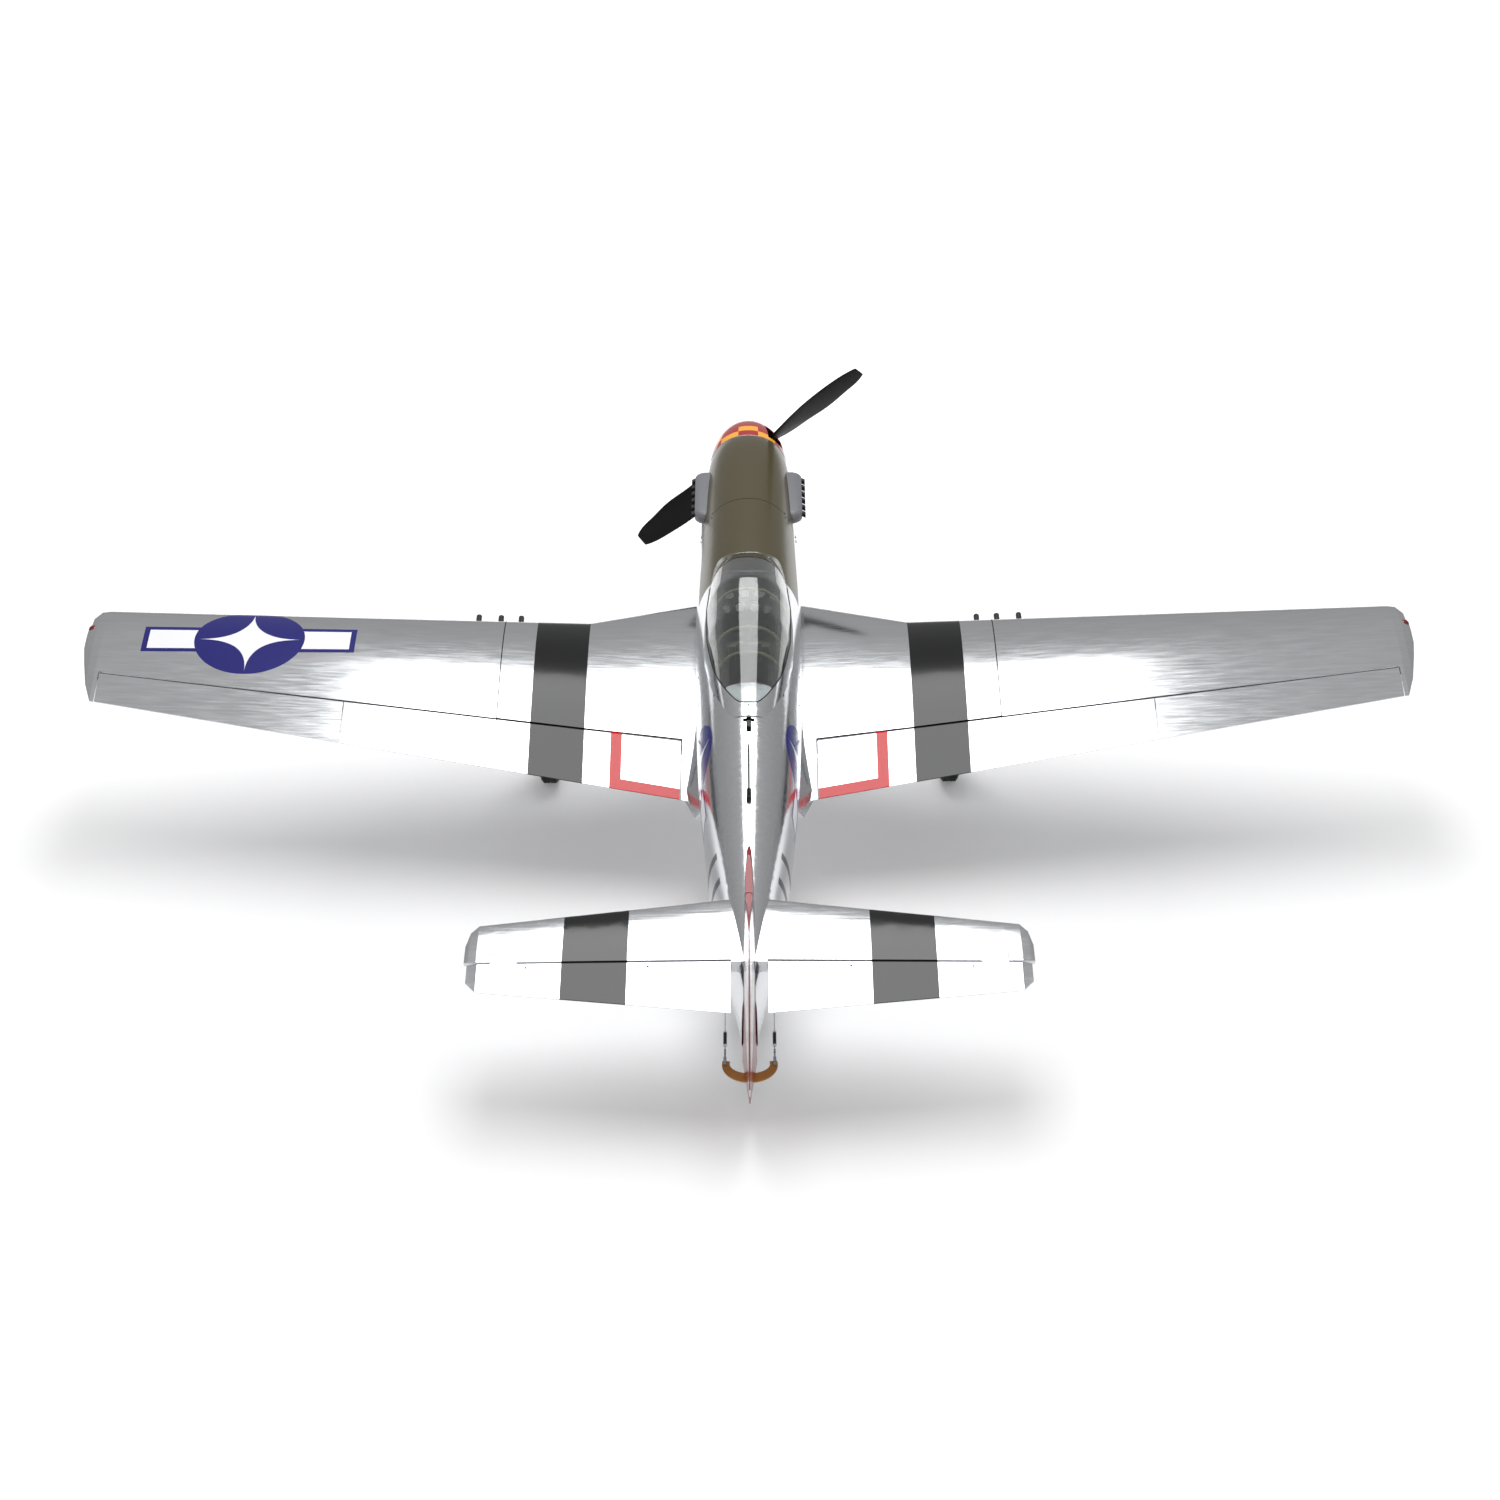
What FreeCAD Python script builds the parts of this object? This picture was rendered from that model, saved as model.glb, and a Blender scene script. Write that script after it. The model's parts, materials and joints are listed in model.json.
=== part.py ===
import FreeCAD, Part
import math
import os

os.makedirs("parts", exist_ok=True)

# Radio-control warbird, about one fifth of full size. All sizes in millimetres.
# Built in the airframe's own axes: x to the right wing, y forward from the spinner
# tip (so everything lies at negative y), z up from the propeller shaft line.
# The last step tips the aircraft nose-up until it stands on its three wheels.

V = FreeCAD.Vector

# Overall sizes
wing_span = 2290.0
fuselage_length = 1712.0
ground_angle = 12.5

# Wing
wing_le = 508.0
wing_z = -109.0
root_chord = 510.0
tip_chord = 263.0
root_thickness = 80.0
tip_thickness = 30.0
camber = 0.012
le_sweep = 3.66
dihedral = 5.0
incidence = 1.0
wing_skin = 3.0
glove_y = 450.0
flap_chord = 0.26
surface_gap = 1.2
root_gap = 3.0

# Fuselage
fuselage_width = 183.0
fuselage_skin = 2.5
cowl_length = 270.0
spinner_length = 130.0
spinner_radius = 71.0

# Propeller
prop_radius = 284.0
prop_plane = 91.0
prop_angle = 48.0
blade_chord = 52.0

# Tail
stab_span = 846.0
stab_z = 75.0
elevator_lead = 74.0
elevator_root = 28.0
fin_height = 272.0
rudder_bottom = -46.0
horn_reach = 37.0
horn_z = -53.0

# Undercarriage
wheel_track = 722.0
gear_y = 555.0
gear_rake = 45.0
gear_pivot_z = -88.0
main_axle_z = -322.5
main_wheel_radius = 68.5
main_wheel_width = 38.0
tail_wheel_lead = 239.0
tail_wheel_radius = 31.75
tail_wheel_width = 18.0
leg_radius = 11.0
pin_radius = 4.0
running_fit = 0.05
fold_angle = 84.0
oleo_travel = 12.0
servo_lead = 382.0

# Values that follow from the sizes above
semi = wing_span / 2.0
seam_x = 0.3738 * semi
flap_root_x = 116.0
flap_tip_x = 0.601 * semi
tip_x = semi - 53.0
aileron_tip_x = tip_x + 14.0
firewall_y = -(spinner_length + cowl_length)
rudder_y = -fuselage_length
elevator_hinge = fuselage_length - elevator_lead
tail_wheel_y = fuselage_length - tail_wheel_lead
servo_y = -(fuselage_length - servo_lead)
gear_x = wheel_track / 2.0
pivot_y = -(gear_y + gear_rake)
leg_drop = gear_pivot_z - main_axle_z
leg_length = math.hypot(gear_rake, leg_drop)
leg_angle = math.degrees(math.atan2(gear_rake, leg_drop))
fold_reach = leg_drop * math.sin(math.radians(fold_angle))
hub_z = gear_pivot_z - leg_length
wheel_slope = math.tan(math.radians(ground_angle))
wheel_step = (main_wheel_radius - tail_wheel_radius) / math.cos(math.radians(ground_angle))
tail_axle_z = main_axle_z + (tail_wheel_y - gear_y) * wheel_slope - wheel_step

parts = {}


def box(x0, x1, y0, y1, z0, z1):
    return Part.makeBox(x1 - x0, y1 - y0, z1 - z0, V(x0, y0, z0))


def rod(start, end, radius):
    return Part.makeCylinder(radius, (end - start).Length, start, end - start)


def tapered_rod(start, end, r0, r1):
    if abs(r0 - r1) < 0.01:
        return rod(start, end, r0)
    return Part.makeCone(r0, r1, (end - start).Length, start, end - start)


def mirrored(shape):
    return shape.mirror(V(0, 0, 0), V(1, 0, 0))


def upright(shape):
    turned = shape.copy()
    turned.rotate(V(0, 0, 0), V(0, 1, 0), -90)
    return turned


def plan_block(outline, z0, z1):
    corners = [V(x, y, z0) for x, y in outline]
    face = Part.Face(Part.makePolygon(corners + [corners[0]]))
    return face.extrude(V(0, 0, z1 - z0))


def side_plate(outline, x0, x1):
    corners = [V(x0, y, z) for y, z in outline]
    face = Part.Face(Part.makePolygon(corners + [corners[0]]))
    return face.extrude(V(x1 - x0, 0, 0))


def smooth(points):
    curve = Part.BSplineCurve()
    curve.interpolate(points)
    return curve.toShape()


def closed_loop(points):
    curve = Part.BSplineCurve()
    curve.interpolate(Points=points, PeriodicFlag=True)
    return Part.Wire([curve.toShape()])


# ---------------------------------------------------------------- wing geometry

def profile_half(thickness, f):
    poly = 0.2969 * math.sqrt(f) - 0.1260 * f - 0.3516 * f ** 2
    poly = poly + 0.2843 * f ** 3 - 0.1036 * f ** 4
    return 5.0 * thickness * poly + 0.8 * f


def wing_plan(x):
    """Leading edge, chord and thickness of the wing at a distance x from the middle."""
    share = x / tip_x
    le = -wing_le - x * math.tan(math.radians(le_sweep))
    chord = root_chord + (tip_chord - root_chord) * share
    thickness = root_thickness + (tip_thickness - root_thickness) * share
    return le, chord, thickness


def wing_height(x):
    return wing_z + x * math.tan(math.radians(dihedral))


def wing_point(x, y):
    """Height of the middle of the wing and half its thickness at x, y."""
    le, chord, thickness = wing_plan(x)
    f = (le - y) / chord
    rise = (0.25 - f) * chord * math.sin(math.radians(incidence))
    middle = wing_height(x) + rise + 4.0 * camber * chord * f * (1.0 - f)
    return middle, profile_half(thickness, f)


def wing_section(x, le, te, thickness, rows=11):
    chord = le - te
    upper = []
    lower = []
    for i in range(rows):
        f = 0.5 - 0.5 * math.cos(math.pi * i / (rows - 1))
        rise = (0.25 - f) * chord * math.sin(math.radians(incidence))
        middle = wing_height(x) + rise + 4.0 * camber * chord * f * (1.0 - f)
        half = profile_half(thickness, f)
        upper.append(V(x, le - f * chord, middle + half))
        lower.append(V(x, le - f * chord, middle - half))
    loop = upper[::-1] + lower[1:]
    return Part.Wire([smooth(loop), Part.makeLine(loop[-1], loop[0])])


def regular_section(x):
    le, chord, thickness = wing_plan(x)
    return wing_section(x, le, le - chord, thickness)


def hollow_section(x, rear_y):
    """Inside outline of the skin, from just behind the nose to the rear spar."""
    le, chord, thickness = wing_plan(x)
    last = (le - rear_y) / chord
    upper = []
    lower = []
    for i in range(9):
        f = 0.035 + (last - 0.035) * i / 8.0
        rise = (0.25 - f) * chord * math.sin(math.radians(incidence))
        middle = wing_height(x) + rise + 4.0 * camber * chord * f * (1.0 - f)
        half = profile_half(thickness, f) - wing_skin
        upper.append(V(x, le - f * chord, middle + half))
        lower.append(V(x, le - f * chord, middle - half))
    top = smooth(upper)
    bottom = smooth(lower[::-1])
    back = Part.makeLine(upper[-1], lower[-1])
    front = Part.makeLine(lower[0], upper[0])
    return Part.Wire([top, back, bottom, front])


def hinge_y(x):
    """Hinge line of flap and aileron, a fixed share of the chord ahead of the trailing edge."""
    le_a, chord_a, t_a = wing_plan(flap_root_x)
    le_b, chord_b, t_b = wing_plan(aileron_tip_x)
    y_a = le_a - chord_a + flap_chord * chord_a
    y_b = le_b - chord_b + (flap_chord - 0.004) * chord_b
    return y_a + (y_b - y_a) * (x - flap_root_x) / (aileron_tip_x - flap_root_x)


def hinge_point(x):
    y = hinge_y(x)
    middle, half = wing_point(x, y)
    return V(x, y, middle), half


def inner_wing_solid():
    middle = wing_plan(0.0)
    root_te = middle[0] - middle[1]
    glove = wing_plan(97.0)
    kink_x = 0.246 * semi
    wires = [
        wing_section(0.0, -glove_y + 8.0, root_te, middle[2] + 2.0),
        wing_section(97.0, -glove_y, glove[0] - glove[1], glove[2] + 2.0),
        regular_section(kink_x),
        regular_section(seam_x),
    ]
    return Part.makeLoft(wires, True, True)


def outer_wing_solid():
    le, chord, thickness = wing_plan(tip_x)
    te = le - chord
    wires = [
        regular_section(seam_x),
        regular_section(tip_x),
        wing_section(tip_x + 22.0, le - 1.0, te + 3.0, thickness - 2.0),
        wing_section(tip_x + 36.0, le - 5.0, te + 50.0, thickness - 7.0),
        wing_section(tip_x + 47.0, le - 23.0, te + 110.0, thickness - 16.0),
        wing_section(tip_x + 53.0, le - 55.0, te + 150.0, 5.0),
    ]
    return Part.makeLoft(wires, True, True)


def moving_surface_cut(x0, x1):
    """Room behind the hinge line for a flap or aileron, with its curved cove."""
    a, half_a = hinge_point(x0)
    b, half_b = hinge_point(x1)
    outline = [(x0, a.y), (x1, b.y), (x1, b.y - 300.0), (x0, a.y - 300.0)]
    room = plan_block(outline, -300.0, 300.0)
    run = b - a
    start = a - run * (20.0 / run.Length)
    end = b + run * (20.0 / run.Length)
    cove = tapered_rod(start, end, half_a + surface_gap, half_b + surface_gap)
    cove = cove.common(box(x0, x1, -2500, 0, -300, 300))
    return room.fuse(cove)


def wedge_section(x, nose, radius, tail_y, tail_z):
    """Side view of a control surface: round nose on the hinge line, thin trailing edge."""
    top = V(x, nose.y, nose.z + radius)
    front = V(x, nose.y + radius, nose.z)
    bottom = V(x, nose.y, nose.z - radius)
    tail_low = V(x, tail_y, tail_z - 0.8)
    tail_high = V(x, tail_y, tail_z + 0.8)
    edges = [
        Part.Arc(top, front, bottom).toShape(),
        Part.makeLine(bottom, tail_low),
        Part.makeLine(tail_low, tail_high),
        Part.makeLine(tail_high, top),
    ]
    return Part.Wire(edges)


def wing_surface(x0, x1, slant=0.0):
    wires = []
    for x in (x0, x1):
        nose, half = hinge_point(x)
        le, chord, thickness = wing_plan(x)
        tail_y = le - chord
        tail_z = wing_point(x, tail_y)[0]
        wires.append(wedge_section(x, nose, half - 0.4, tail_y, tail_z))
    return Part.makeLoft(wires, True, True)


# ------------------------------------------------------------ fuselage geometry

def fuselage_stations():
    """Rows of: distance from the spinner tip, top, bottom, half width."""
    w = fuselage_width / 183.0
    front = [
        (spinner_length + 2.0, 72.0, -84.0, 72.0),
        (203.0, 89.0, -106.0, 81.0 * w),
        (305.0, 99.0, -115.0, 85.5 * w),
        (406.0, 106.0, -123.0, 87.5 * w),
        (508.0, 111.0, -124.0, 89.5 * w),
        (600.0, 115.0, -125.0, fuselage_width / 2.0),
        (760.0, 119.0, -126.0, 90.5 * w),
        (914.0, 122.0, -126.0, 87.5 * w),
        (1092.0, 122.0, -124.0, 82.0 * w),
    ]
    back = [
        (0.23, 112.0, -118.0, 72.0 * w),
        (0.43, 103.0, -103.0, 62.0 * w),
        (0.70, 95.0, -74.0, 42.0 * w),
        (0.89, 88.0, -50.0, 23.0),
        (1.0, 82.0, -38.0, 13.0),
    ]
    rows = list(front)
    for share, top, bottom, half in back:
        rows.append((1092.0 + share * (fuselage_length - 1092.0), top, bottom, half))
    return rows


def body_loop(y, top, bottom, half):
    """One fuselage cross-section: full sides, flatter belly, rounder back."""
    centre = 0.5 * (top + bottom) - 0.06 * (top - bottom)
    loop = []
    for i in range(16):
        angle = 2.0 * math.pi * i / 16.0
        c = math.cos(angle)
        s = math.sin(angle)
        fullness = 0.88 if s > 0 else 0.78
        x = half * math.copysign(abs(c) ** 0.9, c)
        reach = (top - centre) if s > 0 else (centre - bottom)
        loop.append(V(x, y, centre + reach * math.copysign(abs(s) ** fullness, s)))
    return closed_loop(loop)


def body_solid(inset):
    wires = []
    for y, top, bottom, half in fuselage_stations():
        wires.append(body_loop(-y, top - inset, bottom + inset, half - inset))
    return Part.makeLoft(wires, True, False)


def arch_loop(y, half, sill, top):
    """Canopy cross-section: an arch standing on a straight sill."""
    points = []
    for i in range(9):
        angle = math.pi * i / 8.0
        x = half * math.copysign(abs(math.cos(angle)) ** 0.8, math.cos(angle))
        points.append(V(x, y, sill + (top - sill) * math.sin(angle) ** 0.85))
    return Part.Wire([smooth(points), Part.makeLine(points[-1], points[0])])


canopy_front_y = -700.0
canopy_rear_y = -1077.0


def canopy_solid(inset):
    rows = [
        (canopy_front_y, 70.0, 180.0),
        (-770.0, 75.0, 190.0),
        (-860.0, 74.0, 184.0),
        (-950.0, 64.0, 160.0),
        (-1015.0, 54.0, 137.0),
        (canopy_rear_y, 46.0, 124.0),
    ]
    wires = []
    for y, half, top in rows:
        wires.append(arch_loop(y, half - inset, 60.0, top - inset))
    return Part.makeLoft(wires, True, False)


def windshield_solid(inset):
    wires = [
        arch_loop(-586.0 - inset, 62.0 - inset, 60.0, 116.0 - inset),
        arch_loop(canopy_front_y + 1.0, 70.0 - inset, 60.0, 180.0 - inset),
    ]
    return Part.makeLoft(wires, True, True)


# ------------------------------------------------------------------ tail shapes

def tail_section(x, le_y, hinge, z, radius):
    """Fixed tail surface section: round nose growing to full thickness at the hinge."""
    upper = []
    lower = []
    for i in range(8):
        g = (i / 7.0) ** 2
        half = radius * (2.0 * math.sqrt(g) - g) + 0.01
        upper.append(V(x, le_y + (hinge - le_y) * g, z + half))
        lower.append(V(x, le_y + (hinge - le_y) * g, z - half))
    loop = upper[::-1] + lower[1:]
    return Part.Wire([smooth(loop), Part.makeLine(loop[-1], loop[0])])


def stab_thickness(x):
    return 10.5 - 4.5 * x / (stab_span / 2.0)


def stab_half():
    hinge = -elevator_hinge
    half = stab_span / 2.0
    rows = [
        (0.0, hinge + 160.0, stab_thickness(0.0)),
        (half - 18.0, hinge + 95.0, stab_thickness(half - 18.0)),
        (half - 6.0, hinge + 78.0, 5.0),
        (half, hinge + 48.0, 2.5),
    ]
    wires = []
    for x, le_y, radius in rows:
        wires.append(tail_section(x, le_y, hinge, stab_z, radius))
    return Part.makeLoft(wires, True, True)


def elevator_half():
    hinge = -elevator_hinge
    tip = stab_span / 2.0
    rows = [
        (elevator_root, hinge - 104.0, stab_thickness(elevator_root) - 0.4),
        (tip - 20.0, hinge - 56.0, stab_thickness(tip - 20.0) - 0.4),
        (tip - 5.0, hinge - 36.0, 3.0),
    ]
    wires = []
    for x, tail_y, radius in rows:
        nose = V(x, hinge, stab_z)
        wires.append(wedge_section(x, nose, radius, tail_y, stab_z))
    body = Part.makeLoft(wires, True, True)
    horn = stab_half().common(box(tip - 78.0, tip - 40.0, hinge - 1.0, hinge + 22.0, 0, 200))
    return body.fuse(horn)


def stab_room():
    """Everything the elevator needs: the cove along the hinge and the balance notch."""
    hinge = -elevator_hinge
    tip = stab_span / 2.0
    start = V(elevator_root - 1.2, hinge, stab_z)
    end = V(tip + 5.0, hinge, stab_z)
    r0 = stab_thickness(elevator_root) + surface_gap
    r1 = stab_thickness(tip - 20.0) + surface_gap
    cove = tapered_rod(start, end, r0, r1)
    notch = box(tip - 79.5, tip - 38.5, hinge - 2.0, hinge + 24.0, 0, 200)
    return cove.fuse(notch)


def fin_radius(z):
    return 11.5 - 6.5 * (z - rudder_bottom) / (fin_height - rudder_bottom)


def fin_solid():
    top = fin_height
    rows = [
        (60.0, rudder_y + 342.0),
        (100.0, rudder_y + 335.0),
        (0.42 * top, rudder_y + 272.0),
        (0.50 * top, rudder_y + 222.0),
        (0.63 * top, rudder_y + 180.0),
        (0.955 * top, rudder_y + 108.0),
        (top, rudder_y + 88.0),
    ]
    wires = []
    for z, le_y in rows:
        wires.append(tail_section(z, le_y, rudder_y, 0.0, fin_radius(z)))
    return upright(Part.makeLoft(wires, True, True))


def rudder_solid():
    top = fin_height
    rows = [
        (rudder_bottom, rudder_y - 92.0),
        (-8.0, rudder_y - 117.0),
        (50.0, rudder_y - 122.0),
        (0.55 * top, rudder_y - 108.0),
        (0.85 * top, rudder_y - 82.0),
        (0.96 * top, rudder_y - 62.0),
        (top, rudder_y - 38.0),
    ]
    wires = []
    for z, tail_y in rows:
        nose = V(z, rudder_y, 0.0)
        wires.append(wedge_section(z, nose, fin_radius(z) - 0.4, tail_y, 0.0))
    return upright(Part.makeLoft(wires, True, True))


def rudder_room():
    start = V(0, rudder_y, rudder_bottom - 30.0)
    end = V(0, rudder_y, fin_height + 20.0)
    r0 = fin_radius(start.z) + surface_gap
    r1 = fin_radius(end.z) + surface_gap
    behind = box(-60, 60, rudder_y - 60.0, rudder_y, -120, fin_height + 30.0)
    return tapered_rod(start, end, r0, r1).fuse(behind)


# ------------------------------------------------------------ undercarriage room

def wheel_bay():
    """Opening through the lower wing skin, shaped like a folded leg and wheel."""
    centre_x = gear_x - fold_reach
    floor = gear_pivot_z - 120.0
    wide = main_wheel_radius + 3.0
    well = Part.makeCylinder(wide, 129.0, V(centre_x, -gear_y, floor))
    pressed = Part.makeCylinder(wide, 129.0, V(centre_x + oleo_travel, -gear_y - 2.5, floor))
    well = well.fuse(pressed)
    outline = [
        (centre_x, -gear_y - 20.0), (centre_x, -gear_y + 20.0),
        (gear_x + 13.0, pivot_y + 20.0), (gear_x + 13.0, pivot_y - 20.0),
    ]
    slot = plan_block(outline, floor, gear_pivot_z)
    mouth = box(gear_x - 14.0, gear_x + 16.0, pivot_y - 27.0, pivot_y + 27.0, floor, gear_pivot_z)
    return well.fuse(slot).fuse(mouth)


def raked(shape):
    """Swing a leg piece, drawn hanging straight down, forward about its hinge."""
    turned = shape.copy()
    turned.rotate(V(gear_x, pivot_y, gear_pivot_z), V(1, 0, 0), leg_angle)
    return turned


wing_half_inner = inner_wing_solid()
wing_half_outer = outer_wing_solid()
body_outer = body_solid(0.0)
body_inner = body_solid(fuselage_skin)
fin_outer = fin_solid()
stab_outer = stab_half().fuse(mirrored(stab_half()))
wing_inner_pair = wing_half_inner.fuse(mirrored(wing_half_inner))


# -------------------------------------------------------------------- sub-parts

def make_wing_center():
    half = wing_half_inner.cut(moving_surface_cut(flap_root_x - root_gap, seam_x + 5.0))
    clear = 16.0
    rear = []
    for x in (0.0, flap_root_x, seam_x - 5.0):
        rear.append((x, hinge_y(x) + clear + root_thickness * 0.12))
    hollow = Part.makeLoft([hollow_section(x, y) for x, y in rear], True, True)
    block = box(gear_x + 16.0, gear_x + 34.0, pivot_y - 50.0, pivot_y + 50.0, -300, 100)
    half = half.cut(hollow.cut(block))
    half = half.cut(wheel_bay())
    half = half.cut(wing_tube())
    return half.fuse(mirrored(half)).removeSplitter()


def wing_tube():
    x0 = 60.0
    x1 = seam_x + 290.0
    y = wing_plan(seam_x)[0] - 0.33 * wing_plan(seam_x)[1]
    start = V(x0, y, wing_point(x0, y)[0] - 2.0)
    end = V(x1, y, wing_point(x1, y)[0] - 2.0)
    return rod(start, end, 11.0)


def wing_tube_hollow():
    x0 = 60.0
    x1 = seam_x + 290.0
    y = wing_plan(seam_x)[0] - 0.33 * wing_plan(seam_x)[1]
    start = V(x0, y, wing_point(x0, y)[0] - 2.0)
    end = V(x1, y, wing_point(x1, y)[0] - 2.0)
    step = (end - start) * (2.0 / (end - start).Length)
    return rod(start, end, 11.0).cut(rod(start - step, end + step, 10.0))


def make_wing_panel():
    half = wing_half_outer.cut(moving_surface_cut(seam_x - 5.0, aileron_tip_x + surface_gap))
    rear = []
    for x in (seam_x + 5.0, tip_x - 6.0):
        rear.append((x, hinge_y(x) + 12.0 + 0.1 * wing_plan(x)[2]))
    hollow = Part.makeLoft([hollow_section(x, y) for x, y in rear], True, True)
    half = half.cut(hollow)
    half = half.cut(wing_tube())
    return half


def make_gun_barrels():
    spread = (0.353, 0.384, 0.418)
    barrels = []
    for share in spread:
        x = share * semi
        le = wing_plan(x)[0]
        z = wing_point(x, le)[0] - 3.0
        tube = rod(V(x, le - 2.0, z), V(x, le + 26.0, z), 5.0)
        tube = tube.cut(rod(V(x, le + 10.0, z), V(x, le + 30.0, z), 3.0))
        tube = tube.cut(wing_half_inner).cut(wing_half_outer)
        barrels.append(tube)
        barrels.append(mirrored(tube))
    return Part.makeCompound(barrels)


def make_nav_light():
    x = tip_x + 47.0
    le, chord, thickness = wing_plan(tip_x)
    z = wing_height(x) + 3.0
    lamp = Part.makeSphere(9.0, V(x - 3.0, le - 62.0, z))
    return lamp.cut(wing_half_outer)


def make_fuselage_shell():
    shell = body_outer.cut(body_inner)
    shell = shell.common(box(-200, 200, rudder_y, firewall_y, -300, 300))
    shell = shell.cut(rudder_room())
    cockpit = box(-58, 58, -985.0, -600.0, 60.0, 300.0)
    shell = shell.cut(cockpit)
    shell = shell.cut(box(-4, 4, -1116.0, -1078.0, 100.0, 300.0))
    shell = shell.cut(box(-9, 9, -1090.0, -1082.0, 100.0, 300.0))
    shell = shell.cut(wing_inner_pair)
    shell = shell.cut(stab_outer)
    slot = box(horn_reach - 4.0, horn_reach + 4.0, rudder_y + 4.0, -1380.0, horn_z - 4.0, horn_z + 4.0)
    shell = shell.cut(slot).cut(mirrored(slot))
    well = rod(V(0, -tail_wheel_y + 33.0, -200.0), V(0, -tail_wheel_y + 33.0, -60.0), 9.0)
    return shell.cut(well)


def make_cowl():
    front = -spinner_length - 2.5
    shell = body_outer.common(box(-200, 200, firewall_y, front, -300, 300))
    shell = shell.cut(body_inner.common(box(-200, 200, firewall_y - 1.0, front - 4.0, -300, 300)))
    shell = shell.cut(rod(V(0, -200, 0), V(0, 0, 0), 42.0))
    shell = shell.cut(box(-34, 34, front - 8.0, 0, -78.0, -58.0))
    return shell.cut(box(-200, 200, -352.0, -222.0, 28.0, 42.0))


def make_firewall():
    y = firewall_y
    return body_inner.common(box(-200, 200, y - 6.0, y, -300, 300))


def make_engine():
    crankcase = rod(V(0, -300.0, 0), V(0, -165.0, 0), 36.0)
    barrel = rod(V(0, -240.0, -100.0), V(0, -240.0, 0), 26.0)
    body = crankcase.fuse(barrel)
    for i in range(6):
        z = -96.0 + i * 9.0
        body = body.fuse(rod(V(0, -240.0, z), V(0, -240.0, z + 3.0), 34.0))
    for x in (-24.0, 24.0):
        for z in (-24.0, 24.0):
            body = body.fuse(rod(V(x, firewall_y, z), V(x, -299.0, z), 6.0))
    return body.cut(rod(V(0, -250.0, 0), V(0, -150.0, 0), 8.0 + running_fit))


def make_exhaust_fairing():
    outline = [(-216.0, 22.0), (-358.0, 22.0), (-366.0, 35.0), (-358.0, 48.0), (-216.0, 48.0), (-208.0, 35.0)]
    plate = side_plate(outline, 60.0, 103.0)
    plate = plate.cut(body_outer)
    for i in range(6):
        y = -232.0 - i * 22.0
        plate = plate.cut(box(60, 130, y - 8.5, y + 8.5, 29.5, 40.5))
    return plate


def make_exhaust_stacks():
    stacks = []
    for i in range(6):
        y = -232.0 - i * 22.0
        start = V(76.0, y + 3.0, 35.0)
        end = V(108.0, y - 3.0, 35.0)
        pipe = rod(start, end, 5.0)
        stacks.append(pipe.cut(rod(start + (end - start) * 0.4, end + (end - start) * 0.1, 3.8)))
    return Part.makeCompound(stacks)


def make_wing_fillets():
    le = -glove_y
    te_y = wing_plan(110.0)[0] - wing_plan(110.0)[1]
    rows = [
        (le - 20.0, 96.0, -80.0, -100.0),
        (le - 250.0, 108.0, -52.0, -100.0),
        (te_y + 20.0, 113.0, -70.0, -112.0),
        (te_y - 45.0, 90.0, -92.0, -110.0),
    ]
    wires = []
    for y, out, top, low in rows:
        corners = [V(60.0, y, low), V(out, y, low), V(60.0, y, top + 30.0)]
        wires.append(Part.makePolygon(corners + [corners[0]]))
    fillet = Part.makeLoft(wires, True, True)
    fillet = fillet.cut(body_outer).cut(wing_half_inner)
    fillet = fillet.cut(moving_surface_cut(flap_root_x - root_gap, seam_x))
    biggest = max(fillet.Solids, key=lambda solid: solid.Volume)
    return Part.makeCompound([biggest, mirrored(biggest)])


def scoop_solid(inset):
    rows = [
        (840.0, 50.0, -205.0),
        (900.0, 56.0, -214.0),
        (1020.0, 58.0, -213.0),
        (1150.0, 50.0, -188.0),
        (1270.0, 36.0, -140.0),
    ]
    wires = []
    for y, half, bottom in rows:
        wires.append(body_loop(-y, -90.0 - inset, bottom + inset, half - inset))
    return Part.makeLoft(wires, True, False)


def make_belly_scoop():
    shell = scoop_solid(0.0).cut(body_outer).cut(wing_inner_pair)
    duct = scoop_solid(3.0).common(box(-100, 100, -1240.0, -800.0, -300, -152.0))
    shell = shell.cut(duct)
    return max(shell.Solids, key=lambda solid: solid.Volume)


def make_stabilizer():
    room = stab_room()
    blank = stab_outer.cut(room).cut(mirrored(room))
    return blank.cut(rudder_room())


def make_fin():
    blank = fin_outer.cut(body_outer).cut(rudder_room())
    return max(blank.Solids, key=lambda solid: solid.Volume)


def make_rudder_horn():
    z0 = horn_z - 1.2
    bar = plan_block([
        (-horn_reach, rudder_y + 7.0), (horn_reach, rudder_y + 7.0), (horn_reach, rudder_y - 7.0),
        (12.0, rudder_y - 34.0), (-12.0, rudder_y - 34.0), (-horn_reach, rudder_y - 7.0),
    ], z0, z0 + 2.4)
    stem = box(-7.0, 7.0, rudder_y - 30.0, rudder_y - 12.0, z0 + 2.4, rudder_bottom)
    for x in (-horn_reach, horn_reach):
        bar = bar.fuse(Part.makeCylinder(7.0, 2.4, V(x, rudder_y, z0)))
        bar = bar.cut(Part.makeCylinder(4.2, 10.0, V(x, rudder_y, z0 - 4.0)))
    return bar.fuse(stem)


def make_rudder_servo():
    case = box(-20, 20, servo_y - 12.0, servo_y + 30.0, horn_z - 46.0, horn_z - 8.0)
    ears = box(-28, 28, servo_y - 12.0, servo_y + 30.0, horn_z - 16.0, horn_z - 13.0)
    boss = Part.makeCylinder(5.0, 6.8, V(0, servo_y, horn_z - 8.0))
    return case.fuse(ears).fuse(boss)


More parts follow.
